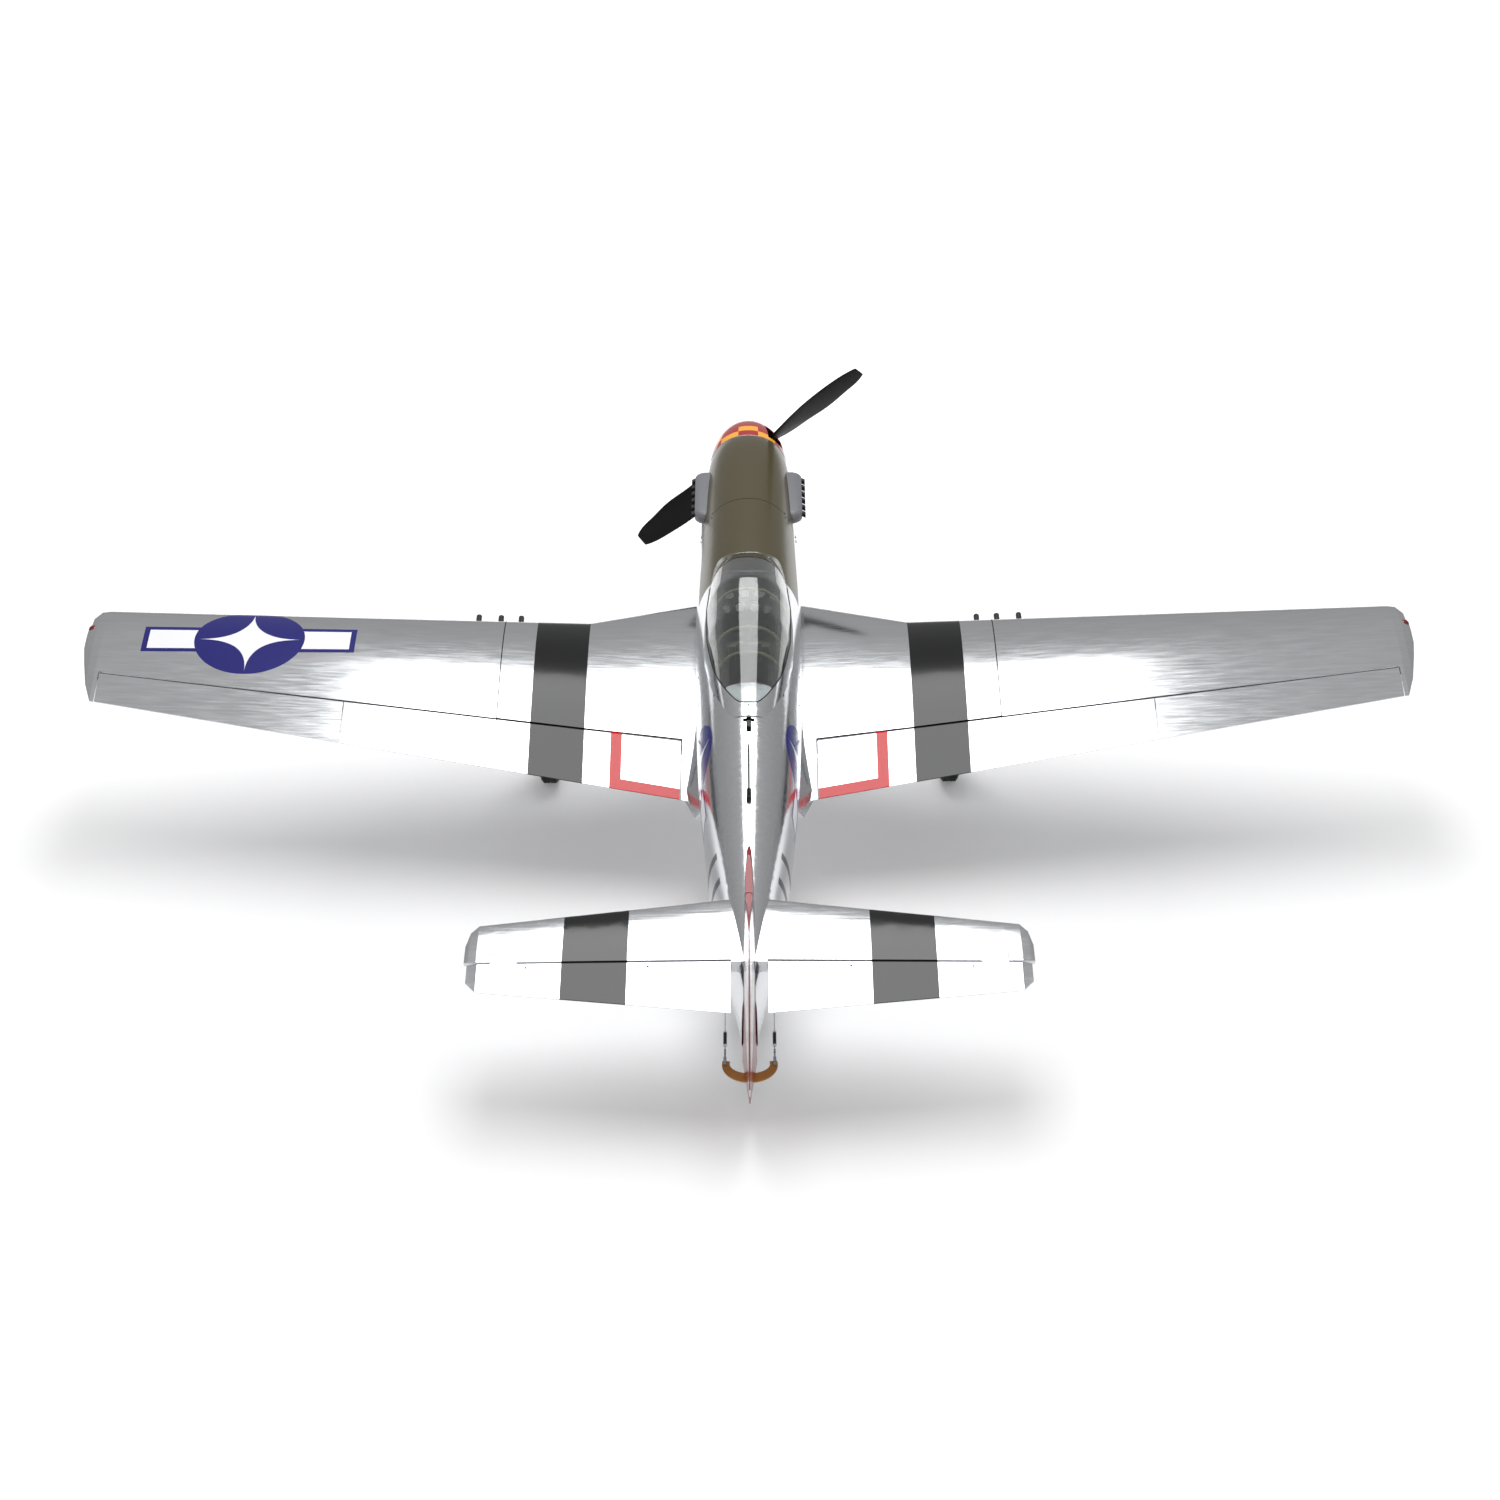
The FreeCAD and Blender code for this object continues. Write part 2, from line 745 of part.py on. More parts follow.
def make_servo_tray():
    y = servo_y
    tray = box(-120, 120, y - 20.0, y + 40.0, horn_z - 19.0, horn_z - 16.0).common(body_inner)
    return tray.cut(box(-20, 20, y - 12.0, y + 30.0, horn_z - 60.0, horn_z))


def make_servo_arm():
    z0 = horn_z - 1.2
    arm = box(-horn_reach, horn_reach, servo_y - 6.0, servo_y + 6.0, z0, z0 + 2.4)
    hub = Part.makeCylinder(8.0, 2.4, V(0, servo_y, z0))
    arm = arm.fuse(hub)
    for x in (-horn_reach, horn_reach):
        arm = arm.fuse(Part.makeCylinder(7.0, 2.4, V(x, servo_y, z0)))
        arm = arm.cut(Part.makeCylinder(4.2, 10.0, V(x, servo_y, z0 - 4.0)))
    return arm


def make_pull_cable():
    x = horn_reach
    run = rod(V(x, rudder_y + 26.0, horn_z), V(x, servo_y - 14.0, horn_z), 0.8)
    barrel = rod(V(x, rudder_y + 44.0, horn_z), V(x, rudder_y + 70.0, horn_z), 2.6)
    line = run.fuse(barrel)
    for end, side in ((rudder_y, 1.0), (servo_y, -1.0)):
        neck = rod(V(x, end + side * 12.0, horn_z), V(x, end + side * 30.0, horn_z), 2.4)
        line = line.fuse(neck)
        y0 = min(end - side * 3.0, end + side * 14.0)
        y1 = max(end - side * 3.0, end + side * 14.0)
        for z in (horn_z - 3.0, horn_z + 1.8):
            line = line.fuse(box(x - 2.0, x + 2.0, y0, y1, z, z + 1.2))
        y0 = min(end + side * 12.0, end + side * 14.0)
        y1 = max(end + side * 12.0, end + side * 14.0)
        line = line.fuse(box(x - 2.0, x + 2.0, y0, y1, horn_z - 3.0, horn_z + 3.0))
        line = line.fuse(rod(V(x, end, horn_z - 3.0), V(x, end, horn_z + 3.0), 0.8))
    return line


def blade():
    rows = [
        (20.0, 0.45, 13.0, 62.0),
        (60.0, 0.62, 9.0, 52.0),
        (120.0, 0.95, 6.5, 36.0),
        (180.0, 1.0, 4.6, 27.0),
        (240.0, 0.78, 3.2, 21.0),
        (274.0, 0.45, 2.2, 18.0),
    ]
    wires = []
    for radius, share, thick, pitch in rows:
        r = radius * prop_radius / 284.0
        oval = Part.Ellipse(V(0, 0, 0), blade_chord * share / 2.0, thick / 2.0).toShape()
        oval.rotate(V(0, 0, 0), V(0, 0, 1), pitch)
        oval.translate(V(0, -prop_plane, r))
        wires.append(Part.Wire([oval]))
    return Part.makeLoft(wires, True, False)


def spun(shape, angle):
    turned = shape.copy()
    turned.rotate(V(0, 0, 0), V(0, 1, 0), angle)
    return turned


def make_propeller():
    hub = rod(V(0, -prop_plane - 12.0, 0), V(0, -prop_plane + 12.0, 0), 26.0)
    prop = hub.fuse(spun(blade(), prop_angle)).fuse(spun(blade(), prop_angle + 180.0))
    return prop.cut(rod(V(0, -200, 0), V(0, 0, 0), 8.0))


def spinner_profile(inset):
    points = []
    for i in range(9):
        f = i / 8.0
        y = -inset - (spinner_length - 3.0 - inset) * f
        r = (spinner_radius - inset) * math.sqrt(max(1.0 - (1.0 - f) ** 2.0, 0.0)) ** 1.15
        points.append(V(max(r, 0.0), y, 0))
    points[0] = V(0, points[0].y, 0)
    curve = smooth(points)
    base = Part.makeLine(points[-1], V(0, points[-1].y, 0))
    axis = Part.makeLine(V(0, points[-1].y, 0), points[0])
    face = Part.Face(Part.Wire([curve, base, axis]))
    return face.revolve(V(0, 0, 0), V(0, 1, 0), 360)


def make_spinner_cone():
    cone = spinner_profile(0.0).cut(spinner_profile(2.0))
    opening = box(-20.0, 20.0, -prop_plane - 26.0, -prop_plane + 26.0, 25.0, 90.0)
    for angle in (prop_angle, prop_angle + 180.0):
        cone = cone.cut(spun(opening, angle))
    return cone


def make_spinner_backplate():
    y = -spinner_length
    plate = rod(V(0, y, 0), V(0, y + 3.0, 0), spinner_radius)
    hub = rod(V(0, y + 3.0, 0), V(0, -prop_plane - 12.0, 0), 20.0)
    return plate.fuse(hub).cut(rod(V(0, -200, 0), V(0, 0, 0), 8.0))


def make_prop_shaft():
    shaft = rod(V(0, -249.0, 0), V(0, -prop_plane + 20.0, 0), 8.0)
    return shaft.fuse(rod(V(0, -prop_plane + 12.0, 0), V(0, -prop_plane + 20.0, 0), 13.0))


def rail_block():
    return box(-100, 100, canopy_rear_y, canopy_front_y - 0.6, 60, 134)


def make_canopy_glass():
    shell = canopy_solid(0.0).cut(canopy_solid(1.5))
    above = plan_side_cut(0.0)
    glass = shell.common(above)
    return max(glass.Solids, key=lambda solid: solid.Volume)


def plan_side_cut(rise):
    """Region above the canopy's metal skirt, seen from the side."""
    outline = [
        (canopy_front_y - 9.0, 128.0 + rise), (-960.0, 129.0 + rise), (-1022.0, 260.0),
        (canopy_front_y - 9.0, 260.0),
    ]
    return side_plate(outline, -120.0, 120.0)


def make_canopy_frame():
    shell = canopy_solid(0.0).cut(canopy_solid(2.0))
    frame = shell.cut(plan_side_cut(0.0))
    frame = frame.cut(box(-200, 200, canopy_front_y - 0.6, -400, 0, 400))
    return frame.cut(body_outer.fuse(lift_gap()))


def lift_gap():
    """A thin clear layer over the fuselage back under the hatch."""
    return body_solid(-0.5)


def make_windshield_glass():
    shell = windshield_solid(0.0).cut(windshield_solid(1.5))
    shell = shell.cut(body_outer)
    return shell.cut(windshield_bars())


def windshield_bars():
    bars = box(-200, 200, canopy_front_y - 2.0, canopy_front_y + 9.0, 0, 400)
    low = side_plate([(-560.0, 60.0), (-760.0, 60.0), (-760.0, 134.0), (-560.0, 122.0)], -200, 200)
    bars = bars.fuse(low)
    back = canopy_front_y + 4.0
    post = plan_block([(18.0, -570.0), (27.0, -570.0), (43.0, back), (34.0, back)], 100.0, 400.0)
    return bars.fuse(post).fuse(mirrored(post))


def make_windshield_frame():
    shell = windshield_solid(0.0).cut(windshield_solid(2.2))
    frame = shell.common(windshield_bars())
    frame = frame.cut(body_outer)
    return frame


def make_hatch_latch():
    bar = box(-3.4, 3.4, -1110.0, -1082.5, 112.0, 119.0)
    knob = box(-3.4, 3.4, -1108.0, -1100.0, 119.0, 126.0)
    return bar.fuse(knob)


def make_cockpit_floor():
    floor = box(-120, 120, -988.0, -600.0, -20.0, -17.0)
    bulkhead = box(-120, 120, -988.0, -985.5, -18.0, 150.0)
    return floor.fuse(bulkhead).common(body_inner)


def make_instrument_panel():
    panel = box(-120, 120, -640.0, -634.0, -17.0, 108.0)
    return panel.common(body_inner)


def make_cockpit_seat():
    pan = box(-34, 34, -850.0, -780.0, -17.0, 20.0)
    back = box(-34, 34, -862.0, -850.0, -17.0, 108.0)
    return pan.fuse(back)


def make_antenna_mast():
    foot = box(-4.0, 4.0, -1280.0, -1258.0, 90.0, 116.0)
    mast = box(-1.6, 1.6, -1274.0, -1262.0, 90.0, 205.0)
    return mast.fuse(foot).cut(body_outer)


def make_retract_frame():
    x = gear_x
    z = gear_pivot_z
    frame = box(x + 12.0, x + 16.0, pivot_y - 25.0, pivot_y + 25.0, z - 10.0, z + 14.0)
    for y in (pivot_y + 19.0, pivot_y - 25.0):
        frame = frame.fuse(box(x - 10.0, x + 12.0, y, y + 6.0, z - 10.0, z + 10.0))
    return frame.cut(rod(V(x, pivot_y - 40.0, z), V(x, pivot_y + 40.0, z), pin_radius))


def make_hinge_pin():
    z = gear_pivot_z
    return rod(V(gear_x, pivot_y - 25.0, z), V(gear_x, pivot_y + 25.0, z), pin_radius)


def make_gear_leg():
    x = gear_x
    z = gear_pivot_z
    leg = raked(rod(V(x, pivot_y, z - 125.0), V(x, pivot_y, z), leg_radius))
    leg = leg.fuse(rod(V(x, pivot_y - 18.0, z), V(x, pivot_y + 18.0, z), 9.0))
    leg = leg.cut(rod(V(x, pivot_y - 40.0, z), V(x, pivot_y + 40.0, z), pin_radius + running_fit))
    return leg.cut(raked(rod(V(x, pivot_y, z - 140.0), V(x, pivot_y, z - 30.0), 7.0 + running_fit)))


axle_side = main_wheel_width / 2.0 + 6.0


def make_oleo():
    x = gear_x
    y = pivot_y
    low = hub_z + main_wheel_radius + 8.0
    oleo = rod(V(x, y, low), V(x, y, gear_pivot_z - 46.0), 7.0)
    oleo = oleo.fuse(box(x - 8.0, x + axle_side + 6.0, y - 8.0, y + 8.0, low - 6.0, low + 4.0))
    oleo = oleo.fuse(box(x + axle_side - 3.0, x + axle_side + 6.0, y - 8.0, y + 8.0, hub_z - 9.0, low))
    inner_end = V(x - main_wheel_width / 2.0 - 2.0, y, hub_z)
    return raked(oleo.fuse(rod(inner_end, V(x + axle_side, y, hub_z), 4.0)))


def make_gear_door():
    x = gear_x
    y = pivot_y
    top = gear_pivot_z - 26.0
    low = hub_z + 30.0
    outline = [(y + 26.0, top), (y + 32.0, low), (y - 32.0, low), (y - 26.0, top)]
    plate = side_plate(outline, x + 33.0, x + 35.5)
    bracket = box(x + 9.0, x + 33.0, y - 6.0, y + 6.0, gear_pivot_z - 78.0, gear_pivot_z - 64.0)
    leg = rod(V(x, y, gear_pivot_z - 125.0), V(x, y, gear_pivot_z), leg_radius)
    return raked(plate.fuse(bracket.cut(leg)))


def tyre(centre, radius, width, hub_radius, axle_radius):
    outline = [
        V(centre.x - width / 2.0, hub_radius, 0), V(centre.x - width / 2.0, radius - width * 0.28, 0),
        V(centre.x - width * 0.25, radius, 0), V(centre.x + width * 0.25, radius, 0),
        V(centre.x + width / 2.0, radius - width * 0.28, 0), V(centre.x + width / 2.0, hub_radius, 0),
    ]
    face = Part.Face(Part.makePolygon(outline + [outline[0]]))
    ring = face.revolve(V(0, 0, 0), V(1, 0, 0), 360)
    ring.translate(V(0, centre.y, centre.z))
    return ring


def wheel_hub(centre, width, hub_radius, axle_radius):
    half = width / 2.0
    hub = rod(centre - V(half, 0, 0), centre + V(half, 0, 0), hub_radius)
    dish = hub_radius * 0.82
    for side in (-1.0, 1.0):
        start = centre + V(side * half * 0.55, 0, 0)
        end = centre + V(side * (half + 2.0), 0, 0)
        hub = hub.cut(rod(start, end, dish).cut(rod(start, end, axle_radius + 5.0)))
    return hub.cut(rod(centre - V(half + 5.0, 0, 0), centre + V(half + 5.0, 0, 0), axle_radius + running_fit))


def main_centre():
    return V(gear_x, -gear_y, main_axle_z)


def tail_centre():
    return V(0, -tail_wheel_y, tail_axle_z)


def make_tail_fork():
    c = tail_centre()
    half = tail_wheel_width / 2.0
    pivot_y = -tail_wheel_y + 33.0
    crown_z = tail_axle_z + tail_wheel_radius + 6.0
    post = rod(V(0, pivot_y, crown_z), V(0, pivot_y, -48.0), 6.0)
    crown = box(-half - 5.0, half + 5.0, -tail_wheel_y - 6.0, pivot_y + 8.0, crown_z, crown_z + 6.0)
    collar = rod(V(0, pivot_y, -57.6), V(0, pivot_y, -50.0), 10.0)
    fork = post.fuse(crown).fuse(collar)
    for side in (-1.0, 1.0):
        x0 = min(side * (half + 1.5), side * (half + 5.0))
        fork = fork.fuse(box(x0, x0 + 3.5, c.y - 6.0, c.y + 6.0, c.z - 7.0, crown_z + 6.0))
    return fork.fuse(rod(V(-half - 3.0, c.y, c.z), V(half + 3.0, c.y, c.z), 3.0))


def make_tail_mount():
    y = -tail_wheel_y + 33.0
    plate = body_inner.common(box(-100, 100, y - 16.0, y + 16.0, -64.0, -58.0))
    return plate.cut(rod(V(0, y, -90.0), V(0, y, 0), 6.0 + running_fit))


def add(name, shape):
    parts[name] = shape
    print(name, len(shape.Solids), round(shape.Volume / 1000.0, 1), shape.isValid())


def add_both(name, shape):
    add(name, Part.makeCompound(shape.Solids + mirrored(shape).Solids))


def add_pair(name, shape):
    add(name + "_right", shape)
    add(name + "_left", mirrored(shape))


add("fuselage_shell", make_fuselage_shell())
add("cowl", make_cowl())
add("firewall", make_firewall())
add("engine", make_engine())
add_both("exhaust_fairings", make_exhaust_fairing())
add_both("exhaust_stacks", make_exhaust_stacks())
add("wing_center", make_wing_center())
add_pair("wing_panel", make_wing_panel())
add_both("wing_tubes", wing_tube_hollow())
add("wing_fillets", make_wing_fillets())
add("belly_scoop", make_belly_scoop())
add("gun_barrels", make_gun_barrels())
add_both("nav_lights", make_nav_light())
add_pair("flap_inner", wing_surface(flap_root_x, seam_x - 0.6))
add_pair("flap_outer", wing_surface(seam_x + 0.6, flap_tip_x - 1.0))
add_pair("aileron", wing_surface(flap_tip_x + 1.0, aileron_tip_x))
add("stabilizer", make_stabilizer())
add_pair("elevator", elevator_half())
add("fin", make_fin())
add("rudder", rudder_solid())
add("rudder_horn", make_rudder_horn())
add("rudder_servo", make_rudder_servo())
add("servo_tray", make_servo_tray())
add("servo_arm", make_servo_arm())
add_pair("pull_cable", make_pull_cable())
add("propeller", make_propeller())
add("spinner_cone", make_spinner_cone())
add("spinner_backplate", make_spinner_backplate())
add("prop_shaft", make_prop_shaft())
add("canopy_glass", make_canopy_glass())
add("canopy_frame", make_canopy_frame())
add("windshield_glass", make_windshield_glass())
add("windshield_frame", make_windshield_frame())
add("hatch_latch", make_hatch_latch())
add("cockpit_floor", make_cockpit_floor())
add("instrument_panel", make_instrument_panel())
add("cockpit_seat", make_cockpit_seat())
add("antenna_mast", make_antenna_mast())
add_both("retract_frames", make_retract_frame())
add_both("gear_pins", make_hinge_pin())
add_pair("gear_leg", make_gear_leg())
add_pair("gear_oleo", make_oleo())
add_pair("gear_door", make_gear_door())
c = main_centre()
add_pair("main_tyre", tyre(c, main_wheel_radius, main_wheel_width, 34.0, 4.0))
add_pair("main_hub", wheel_hub(c, main_wheel_width, 34.0, 4.0))
add("tail_fork", make_tail_fork())
add("tail_mount", make_tail_mount())
t = tail_centre()
add("tail_tyre", tyre(t, tail_wheel_radius, tail_wheel_width, 16.0, 3.0))
add("tail_hub", wheel_hub(t, tail_wheel_width, 16.0, 3.0))


def bounds_of(shapes):
    low = [1e9, 1e9, 1e9]
    high = [-1e9, -1e9, -1e9]
    for shape in shapes:
        for point in shape.tessellate(0.5)[0]:
            for axis in range(3):
                low[axis] = min(low[axis], point[axis])
                high[axis] = max(high[axis], point[axis])
    return low, high


for shape in parts.values():
    shape.rotate(V(0, 0, 0), V(1, 0, 0), ground_angle)
low, high = bounds_of(parts.values())
shift = V(-(low[0] + high[0]) / 2.0, -(low[1] + high[1]) / 2.0, -low[2])
for shape in parts.values():
    shape.translate(shift)
for name, shape in parts.items():
    shape.exportStep("parts/" + name + ".step")
print("stands", round(high[0] - low[0], 1), round(high[1] - low[1], 1), round(high[2] - low[2], 1))
print("shift", shift.x, shift.y, shift.z)
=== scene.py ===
import json
import math

import bmesh
import bpy
from mathutils import Matrix, Vector


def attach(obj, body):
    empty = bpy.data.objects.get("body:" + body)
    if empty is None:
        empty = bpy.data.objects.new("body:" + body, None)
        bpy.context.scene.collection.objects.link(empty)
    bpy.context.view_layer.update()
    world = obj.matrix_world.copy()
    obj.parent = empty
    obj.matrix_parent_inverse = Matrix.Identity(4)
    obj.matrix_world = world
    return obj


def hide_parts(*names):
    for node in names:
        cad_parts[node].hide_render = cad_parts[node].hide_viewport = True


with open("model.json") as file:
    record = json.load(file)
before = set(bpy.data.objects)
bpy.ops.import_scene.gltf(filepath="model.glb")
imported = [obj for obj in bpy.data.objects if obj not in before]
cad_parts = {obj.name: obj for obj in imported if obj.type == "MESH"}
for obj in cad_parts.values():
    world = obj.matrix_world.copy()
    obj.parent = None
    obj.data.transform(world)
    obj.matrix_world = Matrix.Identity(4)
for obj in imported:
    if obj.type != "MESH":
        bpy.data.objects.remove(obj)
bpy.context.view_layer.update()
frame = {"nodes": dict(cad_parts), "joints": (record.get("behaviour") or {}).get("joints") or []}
print("scene: frame loaded")

# The aircraft stands nose-up on its wheels. Everything below is placed in its own axes,
# in millimetres: x to the right wing, y forward with 0 at the spinner tip, z up from the
# propeller shaft line. The propeller joint says where those axes are.
joints = {joint["name"]: joint for joint in frame["joints"]}
shaftAxis = Vector(joints["prop_spin"]["axis"])
propPlaneY = -91.0
groundAngle = math.atan2(shaftAxis.z, shaftAxis.y)
spinnerTip = Vector(joints["prop_spin"]["pos_m"]) - shaftAxis * propPlaneY * 0.001
airToRow = Matrix.Translation(spinnerTip) @ Matrix.Rotation(groundAngle, 4, "X") @ Matrix.Scale(0.001, 4)


def hexColor(code, alpha=1.0):
    # sRGB hex to the linear values that Blender mixes
    values = [int(code[i:i + 2], 16) / 255.0 for i in (1, 3, 5)]
    linear = [v / 12.92 if v <= 0.04045 else ((v + 0.055) / 1.055) ** 2.4 for v in values]
    return (*linear, alpha)


def add(tree, kind, *values, sockets=None, out=0, **settings):
    # adds a node, fills or links its inputs, and gives back one of its outputs
    node = tree.nodes.new("ShaderNode" + kind)
    for name, value in settings.items():
        setattr(node, name, value)
    for key, value in list(enumerate(values)) + list((sockets or {}).items()):
        if value is None:
            continue
        if isinstance(value, bpy.types.NodeSocket):
            tree.links.new(value, node.inputs[key])
        else:
            node.inputs[key].default_value = value
    return node.outputs[out]


def airCoordinates(tree):
    # surface position in the aircraft's own axes, in millimetres
    place = add(tree, "TexCoord", out=3)
    vector = add(tree, "Mapping", place, tuple(spinnerTip), (groundAngle, 0, 0), (0.001, 0.001, 0.001),
                 vector_type="TEXTURE")
    parts = add(tree, "SeparateXYZ", vector).node
    return vector, parts.outputs[0], parts.outputs[1], parts.outputs[2]


def bandMask(tree, value, low, high):
    above = add(tree, "Math", value, low, operation="GREATER_THAN")
    below = add(tree, "Math", value, high, operation="LESS_THAN")
    return add(tree, "Math", above, below, operation="MULTIPLY")


def both(tree, *masks):
    result = masks[0]
    for mask in masks[1:]:
        result = add(tree, "Math", result, mask, operation="MULTIPLY")
    return result


def either(tree, *masks):
    result = masks[0]
    for mask in masks[1:]:
        result = add(tree, "Math", result, mask, operation="MAXIMUM")
    return result


def paint(tree, finish, mask, color, metallic, roughness):
    # lays one finish over another where the mask is 1
    return {
        "color": add(tree, "Mix", sockets={0: mask, 6: finish["color"], 7: hexColor(color)}, out=2,
                     data_type="RGBA"),
        "metallic": add(tree, "Mix", sockets={0: mask, 2: finish["metallic"], 3: metallic}),
        "roughness": add(tree, "Mix", sockets={0: mask, 2: finish["roughness"], 3: roughness}),
    }


def newMaterial(name):
    material = bpy.data.materials.new(name)
    material.use_nodes = True
    material.node_tree.nodes.clear()
    return material, material.node_tree


def closeMaterial(tree, finish, height=None, bumpDistance=0.0002, coat=0.0, **uniform):
    # ends the tree in one principled shader; uniform values sit on the shader's own sockets
    sockets = {
        "Base Color": finish["color"],
        "Metallic": finish["metallic"],
        "Roughness": finish["roughness"],
    }
    if height is not None:
        bump = {"Height": height, "Distance": bumpDistance, "Strength": 1.0}
        sockets["Normal"] = add(tree, "Bump", sockets=bump)
    if coat:
        sockets["Coat Weight"] = coat
        sockets["Coat Roughness"] = 0.04
    sockets.update(uniform)
    shader = add(tree, "BsdfPrincipled", sockets=sockets)
    output = tree.nodes.new("ShaderNodeOutputMaterial")
    tree.links.new(shader, output.inputs[0])


def dress(name, material):
    # gives a CAD node its finish
    mesh = frame["nodes"][name].data
    mesh.materials.clear()
    mesh.materials.append(material)


# Silver heat-shrink film: a metal layer under clear plastic, ironed over balsa sheet. It
# mirrors the room softly, in long streaks, and the reflections bend where the wood waves.
filmLook = {
    "silver": "#d3d5d8",
    "roughness": 0.17,
    "roughnessSpread": 0.05,
    "grainLength": 90.0,     # mm, faint streaks of the film's metal flake
    "sheetWave": 70.0,       # mm, how far apart the wood underneath rises and falls
    "waveHeight": 0.00006,   # metres
    "coat": 0.08,            # the clear layer's own faint shine
    "specular": 0.33,
    "colorRoughness": 0.22,
    "black": "#08090b",
    "blackRoughness": 0.13,
    "seam": "#0b0b0c",
    "red": "#c4141c",
    "darkRed": "#8c0f1a",
    "navy": "#1b1a6e",
    "white": "#f2f2f4",
}


def silverFilm(tree):
    vector, x, y, z = airCoordinates(tree)
    grain = add(tree, "Mapping", vector, None, None, (1.0 / filmLook["grainLength"], 0.25, 0.25))
    streak = add(tree, "TexNoise", sockets={"Vector": grain, "Scale": 1.0, "Detail": 3.0})
    spread = filmLook["roughnessSpread"]
    middle = filmLook["roughness"]
    rough = add(tree, "MapRange", streak, 0.3, 0.7, middle - spread, middle + spread)
    tone = add(tree, "MapRange", streak, 0.3, 0.7, 0.97, 1.03)
    color = add(tree, "VectorMath", hexColor(filmLook["silver"])[:3], tone, operation="MULTIPLY")
    bends = {"Vector": vector, "Scale": 1.0 / filmLook["sheetWave"], "Detail": 1.0}
    wave = add(tree, "TexNoise", sockets=bends)
    return {"color": color, "metallic": 1.0, "roughness": rough}, wave, x, y, z


def closeFilm(tree, finish, wave):
    uniform = {"Specular IOR Level": filmLook["specular"]}
    closeMaterial(tree, finish, wave, filmLook["waveHeight"], filmLook["coat"], **uniform)


def blackBand(tree, finish, value, limits):
    mask = bandMask(tree, value, *limits)
    return paint(tree, finish, mask, filmLook["black"], 0.0, filmLook["blackRoughness"])


def lineMask(tree, value, place, width):
    return bandMask(tree, value, place - width / 2.0, place + width / 2.0)


emblemShape = {
    "barLength": 1.93,       # shares of the disc's radius
    "barHeight": 0.38,
    "border": 0.1,
    "starReach": 0.94,
}


def emblem(tree, finish, u, v, radius, side):
    # a made-up badge: a four-pointed compass star on a disc, between two bars
    shape = emblemShape
    absU = add(tree, "Math", u, operation="ABSOLUTE")
    absV = add(tree, "Math", v, operation="ABSOLUTE")
    uu = add(tree, "Math", u, u, operation="MULTIPLY")
    vv = add(tree, "Math", v, v, operation="MULTIPLY")
    distance = add(tree, "Math", add(tree, "Math", uu, vv, operation="ADD"), operation="SQRT")
    disc = add(tree, "Math", distance, radius, operation="LESS_THAN")
    bars = []
    for border in (0.0, radius * shape["border"]):
        within = add(tree, "Math", absU, radius * shape["barLength"] - border, operation="LESS_THAN")
        level = add(tree, "Math", absV, radius * shape["barHeight"] - border, operation="LESS_THAN")
        bars.append(both(tree, within, level))
    rootU = add(tree, "Math", absU, 0.5, operation="POWER")
    rootV = add(tree, "Math", absV, 0.5, operation="POWER")
    reach = add(tree, "Math", rootU, rootV, operation="ADD")
    star = add(tree, "Math", reach, math.sqrt(radius * shape["starReach"]), operation="LESS_THAN")
    for mask, color in ((bars[0], "navy"), (bars[1], "white"), (disc, "navy"), (star, "white")):
        finish = paint(tree, finish, both(tree, side, mask), filmLook[color], 0.0, filmLook["colorRoughness"])
    return finish


wingMarks = {
    "band": (279.0, 371.0),
    "emblemX": -863.0,
    "emblemY": -664.0,
    "emblemRadius": 94.0,
    "sweep": 0.064,
    "chordZ": -109.0,
    "dihedral": 0.0875,
    "seam": 428.0,
    "seamWidth": 1.8,
}


def wingFilm():
    # black bands, a badge on one wing's upper side and the dark joint of the plug-in panel
    material, tree = newMaterial("silverFilmWing")
    finish, wave, x, y, z = silverFilm(tree)
    marks = wingMarks
    absX = add(tree, "Math", x, operation="ABSOLUTE")
    middle = add(tree, "Math", absX, marks["dihedral"], marks["chordZ"], operation="MULTIPLY_ADD")
    above = add(tree, "Math", z, middle, operation="GREATER_THAN")
    finish = blackBand(tree, finish, absX, marks["band"])
    u = add(tree, "Math", x, marks["emblemX"], operation="SUBTRACT")
    v = add(tree, "Math", add(tree, "Math", y, marks["emblemY"], operation="SUBTRACT"),
            add(tree, "Math", u, marks["sweep"], operation="MULTIPLY"), operation="SUBTRACT")
    finish = emblem(tree, finish, u, v, marks["emblemRadius"], above)
    seam = lineMask(tree, absX, marks["seam"], marks["seamWidth"])
    finish = paint(tree, finish, seam, filmLook["seam"], 0.0, 0.8)
    closeFilm(tree, finish, wave)
    return material


flapMarks = {
    "stripe": (215.0, 234.0),
    "edgeWidth": 18.0,
    "trailingEdge": -1014.0,     # y of the trailing edge, carried in to the centre line
    "trailingSlope": 0.1622,
}


def flapFilm():
    # the wing's black band and the red walkway line, bent along the trailing edge
    material, tree = newMaterial("silverFilmFlap")
    finish, wave, x, y, z = silverFilm(tree)
    absX = add(tree, "Math", x, operation="ABSOLUTE")
    finish = blackBand(tree, finish, absX, wingMarks["band"])
    upright = bandMask(tree, absX, *flapMarks["stripe"])
    lineFront = flapMarks["trailingEdge"] + flapMarks["edgeWidth"]
    edge = add(tree, "Math", absX, flapMarks["trailingSlope"], lineFront, operation="MULTIPLY_ADD")
    along = both(tree, add(tree, "Math", y, edge, operation="LESS_THAN"),
                 add(tree, "Math", absX, flapMarks["stripe"][1], operation="LESS_THAN"))
    finish = paint(tree, finish, either(tree, upright, along), filmLook["red"], 0.0, 0.2)
    closeFilm(tree, finish, wave)
    return material


